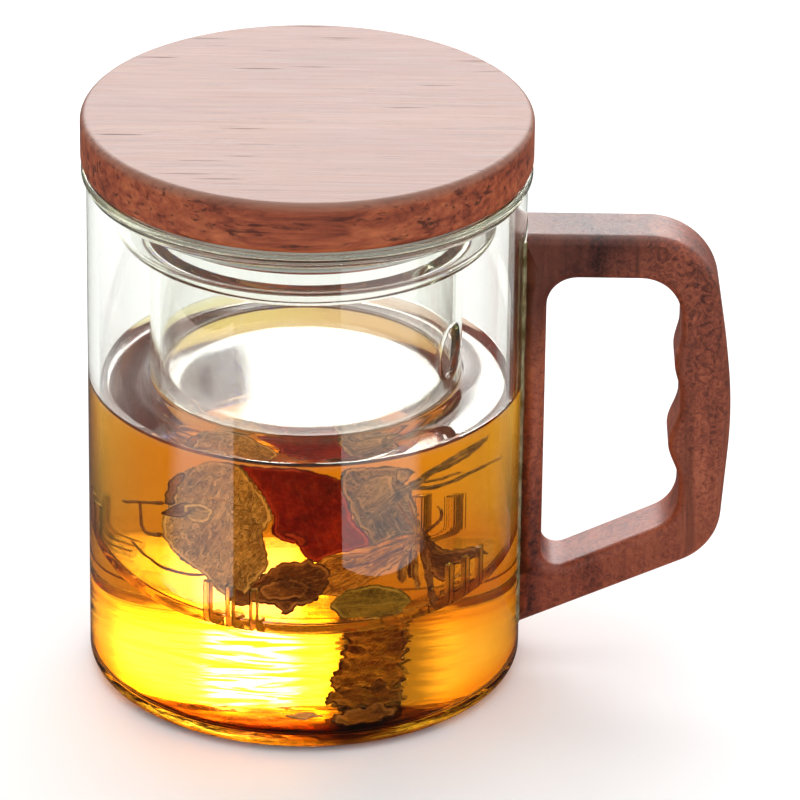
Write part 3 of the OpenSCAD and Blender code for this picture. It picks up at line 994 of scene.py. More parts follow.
# painted tea light in the glass of the mug's foot and of the infuser's floor
painted_amber_ring("foot_stain", rounded([(25, 0.4, 0, 0), (42.1, 0.4, 2.8, 8), (42.1, 2.6, 0, 0), (40.5, 7.5, 0, 0), (39.2, 5.2, 0, 0), (36.5, 3.4, 0, 0), (30.5, 2.5, 0, 0)]), (0.965, 0.74, 0.02), 140, "mug")
painted_amber_ring("tube_stain", rounded([(21, 20.6, 0, 0), (30.15, 20.6, 2.3, 6), (30.15, 27.0, 0, 0), (28.7, 24.6, 0, 0), (28.3, 22.9, 0, 0), (26.6, 22.25, 0, 0), (21, 22.2, 0, 0)]), (0.955, 0.70, 0.06), 170, "infuser")


def make_dust(name, prof, reach, spots, tones):
    """A thin film at the front of the mug, rippled at its inner edge. On the mug's floor it is fine dust that has
    settled; laid in the glass of the foot's rounding it is a painted, more amber image of that dust. prof is its
    section from the flat part outwards.
    """
    phis = np.radians(np.arange(-62, 46.1, 1.0))
    inner_r = np.interp(np.degrees(phis), [-62, -50, -35, -15, 0, 20, 36, 46], [38.5, 33.5, 26.5, 21.5, 20.0, 21.0, 27.0, 36.0])
    rows = []
    for a, ri in zip(phis, inner_r):
        ri = min(ri + reach, prof[0][0] - 0.5)
        row = [(ri + (prof[0][0] - ri) * t, prof[0][1]) for t in np.linspace(0, 1, 14)] + prof[1:]
        row = [(r, z, min(1.0, max(0.0, (r - ri) / 8.0))) for r, z in row]
        fade = min(1.0, (math.degrees(a) + 62) / 16, (46 - math.degrees(a)) / 12)
        rows.append([(r * math.sin(a), -r * math.cos(a), z, f * fade) for r, z, f in row])
    n = len(rows[0])
    verts = [(x * MM, y * MM, z * MM) for row in rows for x, y, z, _ in row]
    faces = [(i * n + j, (i + 1) * n + j, (i + 1) * n + j + 1, i * n + j + 1) for i in range(len(rows) - 1) for j in range(n - 1)]
    me = bpy.data.meshes.new(name)
    me.from_pydata(verts, [], faces)
    at_ = me.attributes.new("film", "FLOAT", "POINT")
    at_.data.foreach_set("value", [f for row in rows for _, _, _, f in row])
    me.polygons.foreach_set("use_smooth", [True] * len(me.polygons))
    ob = bpy.data.objects.new(name, me)
    scene.collection.objects.link(ob)
    k = Mat(name)
    k.t.nodes.remove(k.bsdf)
    tr = k.n("ShaderNodeBsdfTransparent")
    k.link(tr, 0, k.out, "Surface")
    fa = k.n("ShaderNodeAttribute", attribute_name="film", attribute_type="GEOMETRY")
    rip = k.noise(k.coords(scale=(0.30, 1, 1)), 330, 4, 0.6, 0.9)
    q = k.math("MULTIPLY_ADD", rip.outputs["Fac"], None, vb=2.4)
    q.inputs[2].default_value = -1.2 + spots
    q2 = k.math("MULTIPLY_ADD", fa.outputs["Fac"], None, vb=1.35)
    k.t.links.new(q.outputs[0], q2.inputs[2])
    f = k.range(q2, 0, 0.0, 0.55, 0.0, 1.0)
    f2 = k.math("MULTIPLY", f.outputs["Result"], k.range(fa, "Fac", 0.0, 0.25, 0.0, 1.0).outputs["Result"])
    tone = k.ramp(k.noise(k.coords(scale=(0.4, 1, 1)), 150, 4, 0.6), "Fac", tones)
    mx = k.mix(f2.outputs[0], (1.0, 1.0, 1.0), tone.outputs["Color"])
    k.t.links.new(mx.outputs[2], tr.inputs["Color"])
    ob.data.materials.append(k.m)
    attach(ob, "mug")
    return ob


wc, fc_ = WELL_R - 0.15, FOOT_R - 0.35
make_dust("dust_film", [(BORE_R - WELL_R + wc * math.sin(a), MUG_FLOOR + WELL_R - wc * math.cos(a)) for a in np.radians([0, 12, 24, 36, 48, 60, 70])], 0.0, 0.0,
          [(0.36, (0.07, 0.035, 0.012)), (0.5, (0.34, 0.21, 0.07)), (0.64, (0.72, 0.56, 0.26))])
# painted image of the dust, in the glass of the foot's rounding
make_dust("dust_image", [(MUG_R - FOOT_R + fc_ * math.sin(a), FOOT_R - fc_ * math.cos(a)) for a in np.radians([0, 12, 24, 36, 48, 60])], 9.0, 0.35,
          [(0.34, (0.34, 0.15, 0.04)), (0.5, (0.52, 0.29, 0.09)), (0.66, (0.74, 0.49, 0.19))])

# ------------------------------------------------------ tea leaves (stage), mm
# A sight line through the tea falls by FALL and fans out by FAN * x for each millimetre of depth. A blade that bends
# keeps its outline when its points move along those lines, and every point is kept inside the tube, above its floor and
# under the tea's surface.
FALL, FAN = -0.37, -0.0087
ROOM_R, ROOM_Z = 28.0, TUBE_Z + 2.35


def along(x, z, y0, d):
    X, Y, Z = x + FAN * x * d, y0 + d, z + FALL * d
    r = math.hypot(X, Y)
    if r > ROOM_R:
        X, Y = X * ROOM_R / r, Y * ROOM_R / r
    return X, Y, min(max(Z, ROOM_Z), TEA_Z - 0.6)


def ease(a, b, v):
    t = min(max((v - a) / (b - a), 0.0), 1.0)
    return t * t * (3 - 2 * t)


def nz(x, y, z):
    return mnoise.noise(Vector((x, y, z)))


def blade(name, outline, y0, mat, seed, shape=None, rag=0.3, curl=0.8, rumple=1.0, step=0.75, axis=90.0, thick=0.3, lies=False):
    """A leaf or piece of one: a rumpled sheet whose outline is given as (x, z) on the plane Y = y0. One that lies has its outline
    as (x, y) and rests on the mug's floor, y0 above it."""
    edge = smooth(even([tuple(c) for c in outline], 0.5), 2)
    out = edge.copy()
    for i, (c, n) in enumerate(zip(edge, loop_normals(edge))):
        k = nz(c[0] * 0.8, c[1] * 0.8, seed) * rag * 1.4 + nz(c[0] * 2.6, c[1] * 2.6, seed + 5) * rag * 0.7
        out[i] = c + n * k
    edge = out
    rnd = random.Random(seed * 7 + 1)
    lo, hi = edge.min(0), edge.max(0)
    grid = []
    for j, gz in enumerate(np.arange(lo[1], hi[1], step * 0.87)):
        for gx in np.arange(lo[0] + (j % 2) * step / 2, hi[0], step):
            grid.append((gx + rnd.uniform(-0.18, 0.18) * step, gz + rnd.uniform(-0.18, 0.18) * step))
    grid = np.array(grid)
    grid = grid[within(grid, edge)]
    away = np.array([np.min(np.hypot(*(edge - g).T)) for g in grid])
    keep = away > 0.42 * step
    grid, away = grid[keep], away[keep]
    n = len(edge)
    co2, _, tris, _, _, _ = delaunay_2d_cdt([Vector(c) for c in edge] + [Vector(c) for c in grid], [], [list(range(n))], 1, 1e-5)
    dist = np.array([np.min(np.hypot(*(edge - np.array(c)).T)) for c in co2])
    ca, sa = math.cos(math.radians(axis)), math.sin(math.radians(axis))
    mid = edge.mean(0)
    verts, uv = [], []
    for c, de in zip(co2, dist):
        x, z = c
        d = shape(x, z) if shape else 0.0
        d += rumple * (1.5 * nz(x * 0.17, z * 0.17, seed * 1.7) + 0.55 * nz(x * 0.5, z * 0.5, seed * 2.3 + 7))
        d += curl * 2.4 * nz(x * 0.28, z * 0.28, seed + 11) * math.exp(-de / 1.3)
        verts.append(Vector((x, z, MUG_FLOOR + y0 + abs(d)) if lies else along(x, z, y0, d)) * MM)
        dx, dz = x - mid[0], z - mid[1]
        uv.append(((dx * ca + dz * sa) / 10, (-dx * sa + dz * ca) / 10))
    me = bpy.data.meshes.new(name)
    me.from_pydata(verts, [], [tuple(t) for t in tris])
    me.attributes.new("rim", "FLOAT", "POINT").data.foreach_set("value", [max(0.0, 1.0 - float(de) / 1.3) for de in dist])
    me.polygons.foreach_set("use_smooth", [True] * len(me.polygons))
    layer = me.uv_layers.new(name="UVMap")
    for lp in me.loops:
        layer.data[lp.index].uv = uv[lp.vertex_index]
    ob = bpy.data.objects.new(name, me)
    scene.collection.objects.link(ob)
    ob.data.materials.append(mat)
    so = ob.modifiers.new("thickness", "SOLIDIFY")
    so.thickness, so.offset = thick * MM, 0
    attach(ob, "mug" if lies else "infuser")
    return ob


def spline(pts, step):
    """Catmull-Rom through points of any dimension, resampled evenly."""
    p = np.array(pts, float)
    p = np.vstack([2 * p[0] - p[1], p, 2 * p[-1] - p[-2]])
    out = []
    for i in range(1, len(p) - 2):
        for t in np.linspace(0, 1, 12, endpoint=False):
            a, b, c, d = p[i - 1], p[i], p[i + 1], p[i + 2]
            out.append(0.5 * (2 * b + (c - a) * t + (2 * a - 5 * b + 4 * c - d) * t * t + (3 * b - a - 3 * c + d) * t**3))
    out.append(p[-2])
    out = np.array(out)
    s = np.concatenate([[0], np.cumsum(np.linalg.norm(np.diff(out, axis=0), axis=1))])
    u = np.linspace(0, s[-1], max(4, int(s[-1] / step)))
    return np.stack([np.interp(u, s, out[:, k]) for k in range(out.shape[1])], 1)


def stick(name, pts, y0, mat, r0, r1, seed, flat=1.0, sides=10):
    """A twig or leaf stalk along (x, z, extra depth) points; flat squeezes it along the sight line."""
    path = [Vector(along(x, z, y0, d)) for x, z, d in spline(pts, 0.45)]
    bm = bmesh.new()
    rows = []
    for i, c in enumerate(path):
        t = (path[min(i + 1, len(path) - 1)] - path[max(i - 1, 0)]).normalized()
        side = t.cross(Vector((0, 1, 0))).normalized()
        up = side.cross(t).normalized()
        f = i / (len(path) - 1)
        r = (r0 + (r1 - r0) * f) * (1 + 0.30 * nz(i * 0.23, seed * 3.1, 0) + 0.12 * nz(i * 0.9, seed, 4))
        r *= min(1.0, 0.35 + 0.65 * min(i, len(path) - 1 - i) / 2)
        c = c + side * 0.25 * nz(i * 0.16, seed, 9)
        rows.append([bm.verts.new((c + side * (r * math.cos(a)) + up * (r * flat * math.sin(a))) * MM) for a in [2 * math.pi * k / sides for k in range(sides)]])
    for a, b in zip(rows, rows[1:]):
        for j in range(sides):
            k = (j + 1) % sides
            bm.faces.new((a[j], b[j], b[k], a[k]))
    bm.faces.new(rows[0])
    bm.faces.new(rows[-1][::-1])
    bmesh.ops.recalc_face_normals(bm, faces=bm.faces)
    me = bpy.data.meshes.new(name)
    uvl = bm.loops.layers.uv.new("UVMap")
    index = {v: (i, j) for i, row in enumerate(rows) for j, v in enumerate(row)}
    for fc in bm.faces:
        for lp in fc.loops:
            i, j = index[lp.vert]
            lp[uvl].uv = (i * 0.045, j * 0.03)
    bm.to_mesh(me)
    bm.free()
    me.polygons.foreach_set("use_smooth", [True] * len(me.polygons))
    ob = bpy.data.objects.new(name, me)
    scene.collection.objects.link(ob)
    ob.data.materials.append(mat)
    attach(ob, "infuser")
    return ob


def leaf(name, dark, mid, light, through=(0.3, 0.1, 0.02), glow=0.25, fibre=0.3, veins=0.5, rough=0.38, seed=0.0, slant=0.8, bright=0.6, crisp=1.0):
    """Steeped leaf: mottled, fibrous, with a midrib and slanting side veins, and light that comes through it. bright stands for the light that the tea scatters onto it."""
    k = Mat(name)
    uvn = k.n("ShaderNodeUVMap", uv_map="UVMap")
    src = k.coords(loc=(seed, seed * 0.6, 0))
    warp = k.noise(src, 260, 3, 0.6)
    fine = k.noise(src, 1500, 4, 0.65)
    blot = k.noise(src, 120, 3, 0.6, 0.8)
    sp = k.n("ShaderNodeSeparateXYZ")
    k.link(uvn, "UV", sp, 0)
    st = k.n("ShaderNodeMapping")
    st.inputs["Scale"].default_value = (0.6, 9.0, 1)
    st.inputs["Location"].default_value = (seed, seed, 0)
    k.link(uvn, "UV", st, "Vector")
    lines = k.noise(st, 4.5, 4, 0.6, 0.3)
    t = k.math("MULTIPLY_ADD", blot.outputs["Fac"], None, vb=0.55)
    t.inputs[2].default_value = 0.05
    t2 = k.math("MULTIPLY_ADD", lines.outputs["Fac"], None, vb=fibre)
    k.t.links.new(t.outputs[0], t2.inputs[2])
    t3 = k.math("MULTIPLY_ADD", fine.outputs["Fac"], None, vb=0.22)
    k.t.links.new(t2.outputs[0], t3.inputs[2])
    t4 = k.math("ADD", t3.outputs[0], None, vb=-0.5 * fibre + 0.06)
    col = k.ramp(t4, 0, [(0.38, dark), (0.5, mid), (0.63, light)])
    # side veins: |v| and u together, wandering a little
    av = k.math("ABSOLUTE", sp.outputs["Y"])
    u2 = k.math("MULTIPLY_ADD", av.outputs[0], None, vb=-slant)
    k.t.links.new(sp.outputs["X"], u2.inputs[2])
    u3 = k.math("MULTIPLY_ADD", warp.outputs["Fac"], None, vb=0.16)
    k.t.links.new(u2.outputs[0], u3.inputs[2])
    sn = k.math("SINE", k.math("MULTIPLY", u3.outputs[0], None, vb=26).outputs[0])
    sa_ = k.math("ABSOLUTE", sn.outputs[0])
    sv = k.range(sa_, 0, 0.0, 0.22, 1.0, 0.0)
    mr = k.range(av, 0, 0.0, 0.035, 1.0, 0.0)
    vn = k.math("MAXIMUM", sv.outputs["Result"], mr.outputs["Result"])
    vf = k.math("MULTIPLY", vn.outputs[0], None, vb=0.45 * veins)
    c2 = k.mix(vf.outputs[0], col.outputs["Color"], tuple(min(1, c * 1.25 + 0.03) for c in light))
    # creases: painted shade in the dark folds and a painted highlight on a flank beside each; an outline that is darker
    # at the very edge, with a painted highlight where it curls up
    cs = k.n("ShaderNodeMapping")
    cs.inputs["Scale"].default_value = (1.1, 2.8, 1)
    cs.inputs["Location"].default_value = (seed * 2, seed, 0)
    k.link(uvn, "UV", cs, "Vector")
    cn = k.noise(cs, 3.4, 4, 0.55, 1.1)
    cd = k.math("SUBTRACT", cn.outputs["Fac"], None, vb=0.5)
    ca_ = k.math("ABSOLUTE", cd.outputs[0])
    crease_shade = k.math("MULTIPLY", k.range(ca_, 0, 0.0, 0.035, 1.0, 0.0).outputs["Result"], None, vb=0.8 * crisp)
    flank_highlight = k.math("MULTIPLY", k.math("MULTIPLY", k.range(cd, 0, 0.02, 0.05, 0.0, 1.0).outputs["Result"], k.range(cd, 0, 0.06, 0.12, 1.0, 0.0).outputs["Result"]).outputs[0], None, vb=0.55 * crisp)
    ra = k.n("ShaderNodeAttribute", attribute_name="rim", attribute_type="GEOMETRY")
    curled = k.range(k.noise(src, 210, 2, 0.5), "Fac", 0.42, 0.58, 0.15, 0.85)
    rb = k.math("MULTIPLY", k.math("MULTIPLY", k.range(ra, "Fac", 0.35, 0.6, 0.0, 1.0).outputs["Result"], k.range(ra, "Fac", 0.72, 0.82, 1.0, 0.0).outputs["Result"]).outputs[0], curled.outputs["Result"])
    highlight_col = tuple(min(1, c * 1.35 + 0.05) for c in light)
    c2 = k.mix(flank_highlight.outputs[0], c2.outputs[2], highlight_col)
    c2 = k.mix(crease_shade.outputs[0], c2.outputs[2], tuple(c * 0.35 for c in dark))
    c2 = k.mix(rb.outputs[0], c2.outputs[2], highlight_col)
    ro = k.math("MULTIPLY", k.range(ra, "Fac", 0.78, 0.92, 0.0, 0.7).outputs["Result"], k.range(k.noise(src, 170, 2, 0.5), "Fac", 0.40, 0.55, 0.1, 1.0).outputs["Result"])
    c2 = k.mix(ro.outputs[0], c2.outputs[2], tuple(c * 0.3 for c in dark))
    k.t.links.new(c2.outputs[2], k.bsdf.inputs["Base Color"])
    k.t.links.new(c2.outputs[2], k.bsdf.inputs["Emission Color"])
    k.set(Emission_Strength=bright)
    rr = k.range(fine, "Fac", 0.3, 0.7, rough - 0.06, rough + 0.10)
    k.link(rr, "Result", k.bsdf, "Roughness")
    h0 = k.math("MULTIPLY_ADD", vn.outputs[0], None, vb=0.5 * veins)
    k.t.links.new(t4.outputs[0], h0.inputs[2])
    h = k.math("MULTIPLY_ADD", crease_shade.outputs[0], None, vb=-0.6)
    k.t.links.new(h0.outputs[0], h.inputs[2])
    bp = k.bump(h.outputs[0], 0.55, 0.0006)
    k.link(bp, "Normal", k.bsdf, "Normal")
    k.set(IOR=1.45)
    tr = k.n("ShaderNodeBsdfTranslucent")
    tc = k.mix(0.5, c2.outputs[2], through, "MIX")
    k.t.links.new(tc.outputs[2], tr.inputs["Color"])
    mx = k.n("ShaderNodeMixShader")
    mx.inputs[0].default_value = glow
    k.t.links.new(k.bsdf.outputs[0], mx.inputs[1])
    k.t.links.new(tr.outputs[0], mx.inputs[2])
    k.t.links.new(mx.outputs[0], k.out.inputs["Surface"])
    return k.m


L_BROWN = leaf("leaf_brown", (0.18, 0.09, 0.045), (0.40, 0.24, 0.13), (0.62, 0.44, 0.28), through=(0.5, 0.26, 0.06), glow=0.25, fibre=0.45, veins=0.6, seed=0.3, bright=0.55)
L_RED = leaf("leaf_red", (0.060, 0.004, 0.004), (0.22, 0.013, 0.009), (0.46, 0.06, 0.02), through=(0.75, 0.08, 0.02), glow=0.35, fibre=0.2, veins=0.3, seed=1.1, bright=0.5, crisp=0.35)
L_DARK = leaf("leaf_dark", (0.035, 0.010, 0.008), (0.17, 0.060, 0.030), (0.42, 0.19, 0.09), through=(0.45, 0.12, 0.03), glow=0.22, fibre=0.4, veins=0.5, seed=2.3, bright=0.35, crisp=0.65)
L_OLIVE = leaf("leaf_olive", (0.14, 0.050, 0.010), (0.32, 0.135, 0.025), (0.58, 0.32, 0.08), through=(0.6, 0.30, 0.04), glow=0.28, fibre=0.8, veins=0.5, seed=3.1, bright=0.75)
L_GREEN = leaf("leaf_green", (0.055, 0.040, 0.010), (0.19, 0.125, 0.022), (0.36, 0.25, 0.05), through=(0.35, 0.24, 0.02), glow=0.25, fibre=0.3, veins=0.9, seed=4.7, slant=0.45, bright=0.55, crisp=0.5)
L_SUNK = leaf("leaf_sunk", (0.030, 0.015, 0.006), (0.13, 0.062, 0.018), (0.34, 0.19, 0.06), through=(0.4, 0.2, 0.03), glow=0.2, fibre=0.4, veins=0.5, seed=2.9, bright=0.16, crisp=0.9)
L_GREY = leaf("leaf_grey", (0.06, 0.035, 0.022), (0.24, 0.15, 0.09), (0.48, 0.34, 0.22), through=(0.4, 0.24, 0.08), glow=0.2, fibre=0.6, veins=0.4, seed=5.9, bright=0.4)
L_TWIG = leaf("leaf_twig", (0.06, 0.035, 0.025), (0.15, 0.095, 0.065), (0.30, 0.20, 0.14), through=(0.3, 0.16, 0.05), glow=0.05, fibre=0.8, veins=0.0, seed=6.3)
L_STALK = leaf("leaf_stalk", (0.10, 0.035, 0.012), (0.26, 0.11, 0.035), (0.48, 0.26, 0.09), through=(0.5, 0.2, 0.04), glow=0.15, fibre=0.8, veins=0.0, seed=7.7)

A_OUT = [(-19.0, 49.4), (-15.3, 51.7), (-10.8, 51.8), (-9.2, 50.1), (-5.9, 44.2), (-4.6, 40.1), (-6.3, 37.3), (-5.4, 29.7), (-8.5, 23.9), (-9.6, 20.4), (-11.2, 22.2), (-13.4, 23.8), (-15.2, 26.7), (-19.9, 30.4), (-22.6, 34.6), (-22.6, 38.3), (-21.0, 42.5), (-20.3, 46.6)]
blade("leaf_a", A_OUT, -13, L_BROWN, 3, lambda x, z: -5 * ease(33, 21, z) + 3.0 * ease(40, 52, z) + 2.2 * ease(-14, -23, x), rag=0.25, curl=0.9, rumple=1.0, axis=72)
B_OUT = [(-10.1, 49.0), (-6.3, 48.6), (-0.7, 48.6), (5.2, 46.3), (6.4, 41.2), (7.3, 36.7), (9.6, 33.7), (9.6, 31.5), (3.6, 29.7), (2.2, 27.8), (-0.3, 29.5), (-0.8, 32.2), (-3.2, 32.6), (-4.9, 34.4), (-4.5, 37.6), (-5.8, 41.7), (-8.8, 47.6)]
blade("leaf_b", B_OUT, -6, L_RED, 8, lambda x, z: 2.5 - 0.012 * ((x - 1) ** 2 + (z - 40) ** 2) + 2.5 * ease(42, 49, z), rag=0.2, curl=0.6, rumple=0.8, axis=105)
blade("leaf_b2", [(-3.5, 36.0), (-1.0, 35.4), (0.6, 34.2), (0.2, 32.3), (-1.4, 32.6), (-0.9, 33.7), (-2.6, 34.4)], -8.5, L_RED, 19, None, rag=0.25, curl=0.6, rumple=0.4, axis=150)
C_OUT = [(-12.4, 22.6), (-11.4, 25.4), (-8.4, 26.6), (-6.2, 28.8), (-2.9, 31.4), (1.0, 31.9), (4.2, 30.2), (3.6, 25.4), (1.4, 22.3), (-1.1, 21.6), (-2.8, 19.1), (-3.6, 21.7), (-6.5, 22.5), (-9.6, 21.4)]
blade("leaf_c", C_OUT, -15, L_DARK, 12, lambda x, z: -7.5 * ease(27, 20, z) + 2.5 * ease(27, 32, z), rag=0.55, curl=1.3, rumple=1.3, axis=20, step=0.6)
blade("leaf_c2", [(-7.6, 26.2), (-4.6, 28.6), (-1.2, 29.0), (1.6, 27.4), (0.6, 24.6), (-2.6, 23.8), (-6.0, 24.2)], -17.5, L_DARK, 31, lambda x, z: -3 * ease(27, 23, z), rag=0.5, curl=1.4, rumple=1.5, axis=10, step=0.6)
D_OUT = [(16.8, 34.9), (13.7, 33.2), (9.6, 31.3), (3.8, 30.8), (1.2, 28.0), (-0.3, 24.6), (0.9, 22.7), (3.8, 21.5), (7.2, 21.7), (9.4, 24.5), (11.9, 26.3), (15.1, 29.6), (17.8, 33.3)]
blade("leaf_d", D_OUT, -9, L_OLIVE, 17, lambda x, z: -2.6 * ease(29, 22, z) - 1.0 * ease(12, 17, x), rag=0.3, curl=0.8, rumple=0.9, axis=36)
E_OUT = [(4.3, 23.4), (6.9, 26.8), (11.8, 28.0), (16.6, 26.3), (18.5, 23.5), (17.0, 20.6), (11.9, 19.2), (6.9, 19.8)]
blade("leaf_e", E_OUT, -19, L_GREEN, 23, lambda x, z: -5.5 * ease(27, 20, z), rag=0.2, curl=0.5, rumple=0.6, axis=2)
G_OUT = [(18.1, 33.0), (19.9, 31.2), (21.3, 29.4), (25.6, 29.3), (28.4, 27.6), (25.6, 26.9), (23.0, 25.9), (21.7, 22.5), (19.0, 24.3), (18.0, 27.7)]
blade("leaf_g", G_OUT, -6, L_DARK, 41, lambda x, z: 2.5 * ease(22, 28, x) - 1.5 * ease(28, 22, z), rag=0.45, curl=1.2, rumple=1.0, axis=-30, step=0.6)
H_OUT = [(5.5, 49.3), (7.8, 49.8), (14.5, 49.7), (15.2, 47.5), (15.0, 45.7), (16.5, 43.5), (17.3, 39.9), (17.8, 35.0), (14.6, 34.7), (12.3, 33.5), (10.0, 32.4), (9.8, 35.0), (7.7, 37.7), (6.7, 42.1), (5.4, 45.4)]
blade("leaf_h", H_OUT, -9, L_GREY, 47, lambda x, z: 1.6 * math.sin((x + z) * 0.9) * 0.5 + 2.0 * ease(42, 50, z), rag=0.35, curl=1.2, rumple=1.6, axis=115)
blade("leaf_h2", [(7.4, 45.0), (10.2, 48.4), (13.6, 48.8), (14.0, 44.2), (11.6, 40.2), (9.0, 40.6)], -11, L_GREY, 53, lambda x, z: 1.0 * ease(44, 49, z), rag=0.3, curl=1.3, rumple=1.2, axis=60)
blade("leaf_h3", [(14.2, 49.6), (17.6, 48.6), (15.9, 47.6), (16.0, 46.4), (13.9, 46.2)], -10, L_GREY, 57, None, rag=0.3, curl=0.8, rumple=0.6, axis=10)
blade("leaf_k1", [(-22.3, 43.4), (-21.4, 46.8), (-19.4, 48.9), (-18.4, 48.6), (-19.8, 46.2), (-20.3, 43.6), (-20.6, 41.4), (-22.0, 41.6)], -13, L_DARK, 61, lambda x, z: -1.0, rag=0.25, curl=1.0, rumple=0.5, axis=75, step=0.5)
blade("leaf_k2", [(-23.5, 39.9), (-21.4, 39.4), (-19.0, 39.7), (-17.7, 41.4), (-18.6, 43.3), (-20.4, 42.2), (-22.0, 41.0)], -14.5, L_DARK, 67, None, rag=0.2, curl=1.0, rumple=0.4, axis=10, step=0.5)
blade("leaf_k3", [(-19.4, 42.8), (-16.6, 43.6), (-13.9, 42.0), (-14.8, 39.6), (-17.4, 38.8), (-19.0, 40.0)], -15.2, L_BROWN, 71, None, rag=0.15, curl=0.9, rumple=0.5, axis=0, step=0.5)

stick("twig_i", [(9.4, 38.2, 0), (14.2, 44.0, 0), (19.8, 48.8, 3), (24.7, 52.1, 9), (29.2, 54.8, 15)], -12, L_TWIG, 0.80, 0.50, 1, 0.7)
stick("twig_i2", [(19.6, 48.6, 2), (24.2, 50.6, 8), (28.4, 53.6, 14), (29.6, 55.6, 16)], -12, L_TWIG, 0.42, 0.30, 2)
stick("twig_j", [(15.8, 45.0, 0), (21.2, 45.2, 3), (26.5, 47.3, 9), (31.6, 49.2, 15)], -10, L_TWIG, 0.50, 0.28, 3)
stick("twig_j2", [(16.2, 46.6, -1), (20.2, 46.8, 3), (25.0, 48.0, 8)], -11, L_TWIG, 0.40, 0.25, 4)
stick("twig_t1", [(-29.6, 40.1, 12), (-25.6, 40.9, 6), (-22.0, 41.4, 0)], -12, L_DARK, 0.32, 0.42, 5)
stick("twig_l1", [(-26.6, 41.2, 6), (-26.2, 37.4, 5), (-25.6, 34.4, 4), (-22.4, 34.4, 0)], -12, L_DARK, 0.22, 0.52, 6)
stick("twig_l2", [(-28.0, 31.9, 9), (-25.6, 29.4, 5), (-22.6, 27.4, 2), (-18.8, 26.5, 0), (-15.2, 26.6, 0)], -12, L_DARK, 0.26, 0.34, 7)
stick("twig_rib", [(-19.4, 43.6, -2.6), (-15.7, 43.9, -2.6), (-12.8, 43.6, -2.4), (-9.8, 42.3, -2)], -13, L_OLIVE, 0.20, 0.16, 8)
stick("stalk_tail", [(18.0, 34.4, 0), (18.9, 35.2, 0), (20.1, 36.5, 1), (21.3, 38.0, 2), (21.5, 39.6, 3), (20.7, 40.7, 4)], -10, L_DARK, 0.42, 0.20, 9)
stick("stalk_a", [(18.2, 34.6, -0.5), (16.0, 38.9, 0), (14.4, 42.4, 0)], -11, L_STALK, 0.38, 0.26, 10)
stick("stalk_b", [(18.6, 34.6, -0.5), (17.1, 39.2, 0), (16.2, 43.0, 0)], -11, L_STALK, 0.34, 0.24, 11)
stick("stalk_d", [(18.4, 34.9, -1), (15.3, 34.2, -0.5), (12.3, 32.9, 0), (8.6, 31.0, 0), (4.4, 30.9, 0)], -10.5, L_STALK, 0.36, 0.24, 12)
stick("stalk_d2", [(17.8, 33.6, -1), (13.6, 31.4, -0.5), (9.4, 29.2, 0), (6.0, 28.6, 0)], -10.5, L_DARK, 0.32, 0.22, 13)
stick("stem_f1", [(17.0, 35.0, 0), (16.0, 32.0, 0), (15.5, 29.0, 0), (15.4, 25.4, 0)], -12, L_STALK, 0.55, 0.75, 14, 0.5)
stick("stem_f2", [(17.7, 35.2, 0), (17.5, 31.0, 0), (17.7, 27.5, 0), (18.2, 24.0, 0)], -12.6, L_STALK, 0.5, 0.62, 15, 0.5)
stick("stem_f3", [(18.5, 35.0, 0), (19.0, 30.8, 0), (19.6, 27.7, -1), (20.3, 23.2, -4), (20.9, 19.6, -7)], -12, L_DARK, 0.5, 0.78, 16, 0.6)
stick("stem_f4", [(17.1, 34.6, 0), (16.9, 30.2, 0), (16.6, 26.0, 0)], -11.2, L_DARK, 0.5, 0.6, 17, 0.5)
stick("branch_g", [(18.4, 34.0, 0), (19.2, 31.0, 0), (20.9, 29.2, 0), (23.4, 29.0, 2), (26.2, 29.2, 4), (28.8, 27.4, 7)], -7, L_DARK, 0.65, 0.30, 18)
stick("bit_r1", [(23.4, 24.6, 0), (25.4, 25.8, 3), (27.6, 25.4, 6)], -12, L_STALK, 0.30, 0.22, 20)
stick("bit_r2", [(22.0, 22.4, -2), (24.0, 21.6, 0), (26.0, 22.2, 3)], -12, L_STALK, 0.30, 0.22, 21)

# bits that slipped through the slots and lie on the mug's floor
blade("sunk_a", [(4.0, -12), (5.5, 2), (5.2, 14), (3.4, 25), (4.6, 32), (7.6, 33.5), (10.8, 29), (11.6, 18), (13.4, 8), (14.2, -2), (16, -10), (14, -17), (10, -15), (7, -18)], 0.3, L_SUNK, 83, None, rag=0.7, curl=0.9, rumple=1.0, axis=80, lies=True)
blade("sunk_b", [(3.5, -22), (6, -15), (10, -13), (16, -16), (17.5, -21), (14, -25), (9, -26), (6, -24)], 0.5, L_SUNK, 89, None, rag=0.7, curl=1.2, rumple=1.2, axis=12, lies=True)
blade("sunk_c", [(5, -33), (8, -27), (13, -25.5), (17, -28), (15, -32.5), (10, -34.5)], 0.3, L_SUNK, 97, None, rag=0.7, curl=0.9, rumple=0.9, axis=5, lies=True)
blade("sunk_d", [(-3, -29), (0, -27.5), (4, -28.5), (3, -30.5), (-1, -30.8)], 0.3, L_BROWN, 101, None, rag=0.4, curl=0.5, rumple=0.4, axis=5, lies=True)

# --------------------------------------------------------------- floor, lights
floor_me = bpy.data.meshes.new("floor")
# a fifth of a millimetre under the foot, so that the foot's own face is what a sight line meets first
floor_me.from_pydata([(-4, -4, -0.0002), (4, -4, -0.0002), (4, 4, -0.0002), (-4, 4, -0.0002)], [], [(0, 1, 2, 3)])
floor = bpy.data.objects.new("floor", floor_me)
scene.collection.objects.link(floor)
fm = Mat("floor_pale")
fm.set(Roughness=0.9, Specular_IOR_Level=0.0)
fnz = fm.noise(fm.coords(), 6, 2)
fcol = fm.ramp(fnz, "Fac", [(0.3, (0.925, 0.93, 0.935)), (0.7, (0.94, 0.945, 0.95))])
